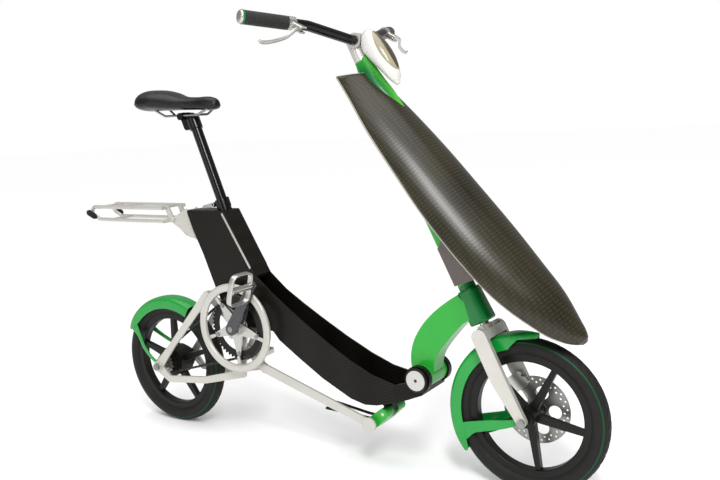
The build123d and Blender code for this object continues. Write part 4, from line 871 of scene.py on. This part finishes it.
def belt(distance):
    """Place on the belt line: over the big wheel, along the lower run, over the small one, and back."""
    s = np.mod(distance, total)
    on_big = slope + spread - np.minimum(s, arc_big) / big
    on_small = slope - spread - np.clip(s - arc_big - run_length, 0, arc_small) / small
    low_way = np.array([math.cos(slope - spread), math.sin(slope - spread)])
    high_way = np.array([math.cos(slope + spread), math.sin(slope + spread)])
    low_share = ((s - arc_big) / run_length)[:, None]
    high_share = ((s - arc_big - run_length - arc_small) / run_length)[:, None]
    first = (s < arc_big)[:, None]
    second = (s < arc_big + run_length)[:, None]
    third = (s < arc_big + run_length + arc_small)[:, None]
    big_place = bracket_at + big * np.stack([np.cos(on_big), np.sin(on_big)], -1)
    small_place = hub_at + small * np.stack([np.cos(on_small), np.sin(on_small)], -1)
    start_low, start_high = bracket_at + big * low_way, hub_at + small * high_way
    low_place = start_low + low_share * (hub_at + small * low_way - start_low)
    high_place = start_high + high_share * (bracket_at + big * high_way - start_high)
    return np.where(first, big_place, np.where(second, low_place, np.where(third, small_place, high_place)))


pins = belt(np.arange(count) * total / count)
ahead = unit(np.roll(pins, -1, 0) - pins)
upward = np.stack([-ahead[:, 1], ahead[:, 0]], -1)
print("chain of", count, "pins, pitch", round(total / count, 2), "mm")

# %% Plates and pins
PLATE_END, WAIST, PLATE_THICK = 3.6, 0.9, 1.0      # mm: radius round a pin, depth of the waist, thickness
turn_plate = np.linspace(0, 2 * np.pi, 20, endpoint=False)
plate_x = PITCH / 2 + (PITCH / 2 + PLATE_END) * np.cos(turn_plate)
plate_z = np.sign(np.sin(turn_plate)) * (PLATE_END * np.abs(np.sin(turn_plate)) ** 0.5
                                         - WAIST * (np.abs(plate_x - PITCH / 2) < 3.2))
turn_pin = np.linspace(0, 2 * np.pi, 10, endpoint=False)
layers = []            # an outline at every pin, and the two places across Y that it is drawn between
for plate_y, first_pin in ((2.4, 0), (3.5, 1)):
    chosen = np.arange(first_pin, count, 2)
    outline = (pins[chosen, None] + plate_x[None, :, None] * ahead[chosen, None]
               + plate_z[None, :, None] * upward[chosen, None])
    layers += [(outline, -plate_y - PLATE_THICK, -plate_y), (outline, plate_y, plate_y + PLATE_THICK)]
for half_length, radius in ((5.2, 1.9), (2.3, 3.9)):
    outline = pins[:, None] + radius * np.stack([np.cos(turn_pin), np.sin(turn_pin)], -1)[None]
    layers.append((outline, -half_length, half_length))
points, faces, made = [], [], 0
for outline, *across_y in layers:
    slabs, corners = outline.shape[:2]
    points += [spot(outline[..., 0], outline[..., 1], CHAIN_Y + y).reshape(-1, 3) for y in across_y]
    near = np.arange(slabs * corners).reshape(slabs, corners) + made
    far = near + slabs * corners
    made += 2 * slabs * corners
    sides = np.stack([near, far, np.roll(far, -1, 1), np.roll(near, -1, 1)], -1).reshape(-1, 4)
    faces += near.tolist() + far[:, ::-1].tolist() + sides.tolist()
chain_mesh = bpy.data.meshes.new("chain_links")
chain_mesh.from_pydata(np.vstack(points).tolist(), [], faces)
chain_mesh.materials.append(dark_steel)
chain_links = bpy.data.objects.new("chain_links", chain_mesh)
bpy.context.scene.collection.objects.link(chain_links)
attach(chain_links, "rear_arm")
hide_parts("chain")
print("chain faces", len(faces))

# %% [markdown]
# ## Stage and light
# A pale floor that runs far back, a wide soft light above, and a long one on the near side whose
# reflection draws the bright band down the leg shield.

# %% Stage and lights
FLOOR_HALF = 30.0                      # metres
floor_corners = [(-FLOOR_HALF, -FLOOR_HALF, 0), (FLOOR_HALF, -FLOOR_HALF, 0),
                 (FLOOR_HALF, FLOOR_HALF, 0), (-FLOOR_HALF, FLOOR_HALF, 0)]
floor_mesh = bpy.data.meshes.new("floor")
floor_mesh.from_pydata(floor_corners, [], [(0, 1, 2, 3)])
floor = bpy.data.objects.new("floor", floor_mesh)
bpy.context.scene.collection.objects.link(floor)
pale_floor, floor_tree, _ = new_material("pale_floor_paint")
finish_material(floor_tree, add_node(floor_tree, "ShaderNodeBsdfPrincipled", inputs={
    "Base Color": linear("#F8F8F8"), "Roughness": 0.9}))
floor_mesh.materials.append(pale_floor)

world = bpy.data.worlds.new("studio")
bpy.context.scene.world = world
world.use_nodes = True
sky = world.node_tree
backdrop = sky.nodes["Background"]
backdrop.inputs["Color"].default_value = (1.0, 1.0, 1.0, 1.0)
ray = add_node(sky, "ShaderNodeLightPath")
# the backdrop is white behind the bicycle, and dimmer as a light, so that black finishes stay black
brightness = add_node(sky, "ShaderNodeMapRange", inputs={
    "Value": ray.outputs["Is Camera Ray"], "To Min": 0.36, "To Max": 1.0})
sky.links.new(brightness.outputs["Result"], backdrop.inputs["Strength"])


def aim(name, kind, place, target, energy, size):
    """A light at a place, turned to face a target: an area by its sides, or a sun by its angle."""
    data = bpy.data.lights.new(name, kind)
    data.energy = energy
    if kind == "SUN":
        data.angle = math.radians(size[0])
    else:
        data.shape = "RECTANGLE"
        data.size, data.size_y = size
    lamp = bpy.data.objects.new(name, data)
    bpy.context.scene.collection.objects.link(lamp)
    facing = Vector(np.subtract(target, place)).to_track_quat("-Z", "Y").to_matrix().to_4x4()
    lamp.matrix_world = Matrix.Translation(place) @ facing


aim("ceiling", "SUN", (0.0, -0.5, 5.0), (0.0, 0.0, 0.0), 2.3, (70.0,))
aim("near_side", "AREA", (-0.9, -3.2, 1.5), (0.1, 0.0, 0.7), 16.0, (0.7, 2.4))
aim("front_strip", "AREA", (1.72, -1.95, 2.7), (0.45, -0.1, 0.7), 72.0, (0.45, 1.3))
bpy.context.scene.view_settings.view_transform = "Standard"
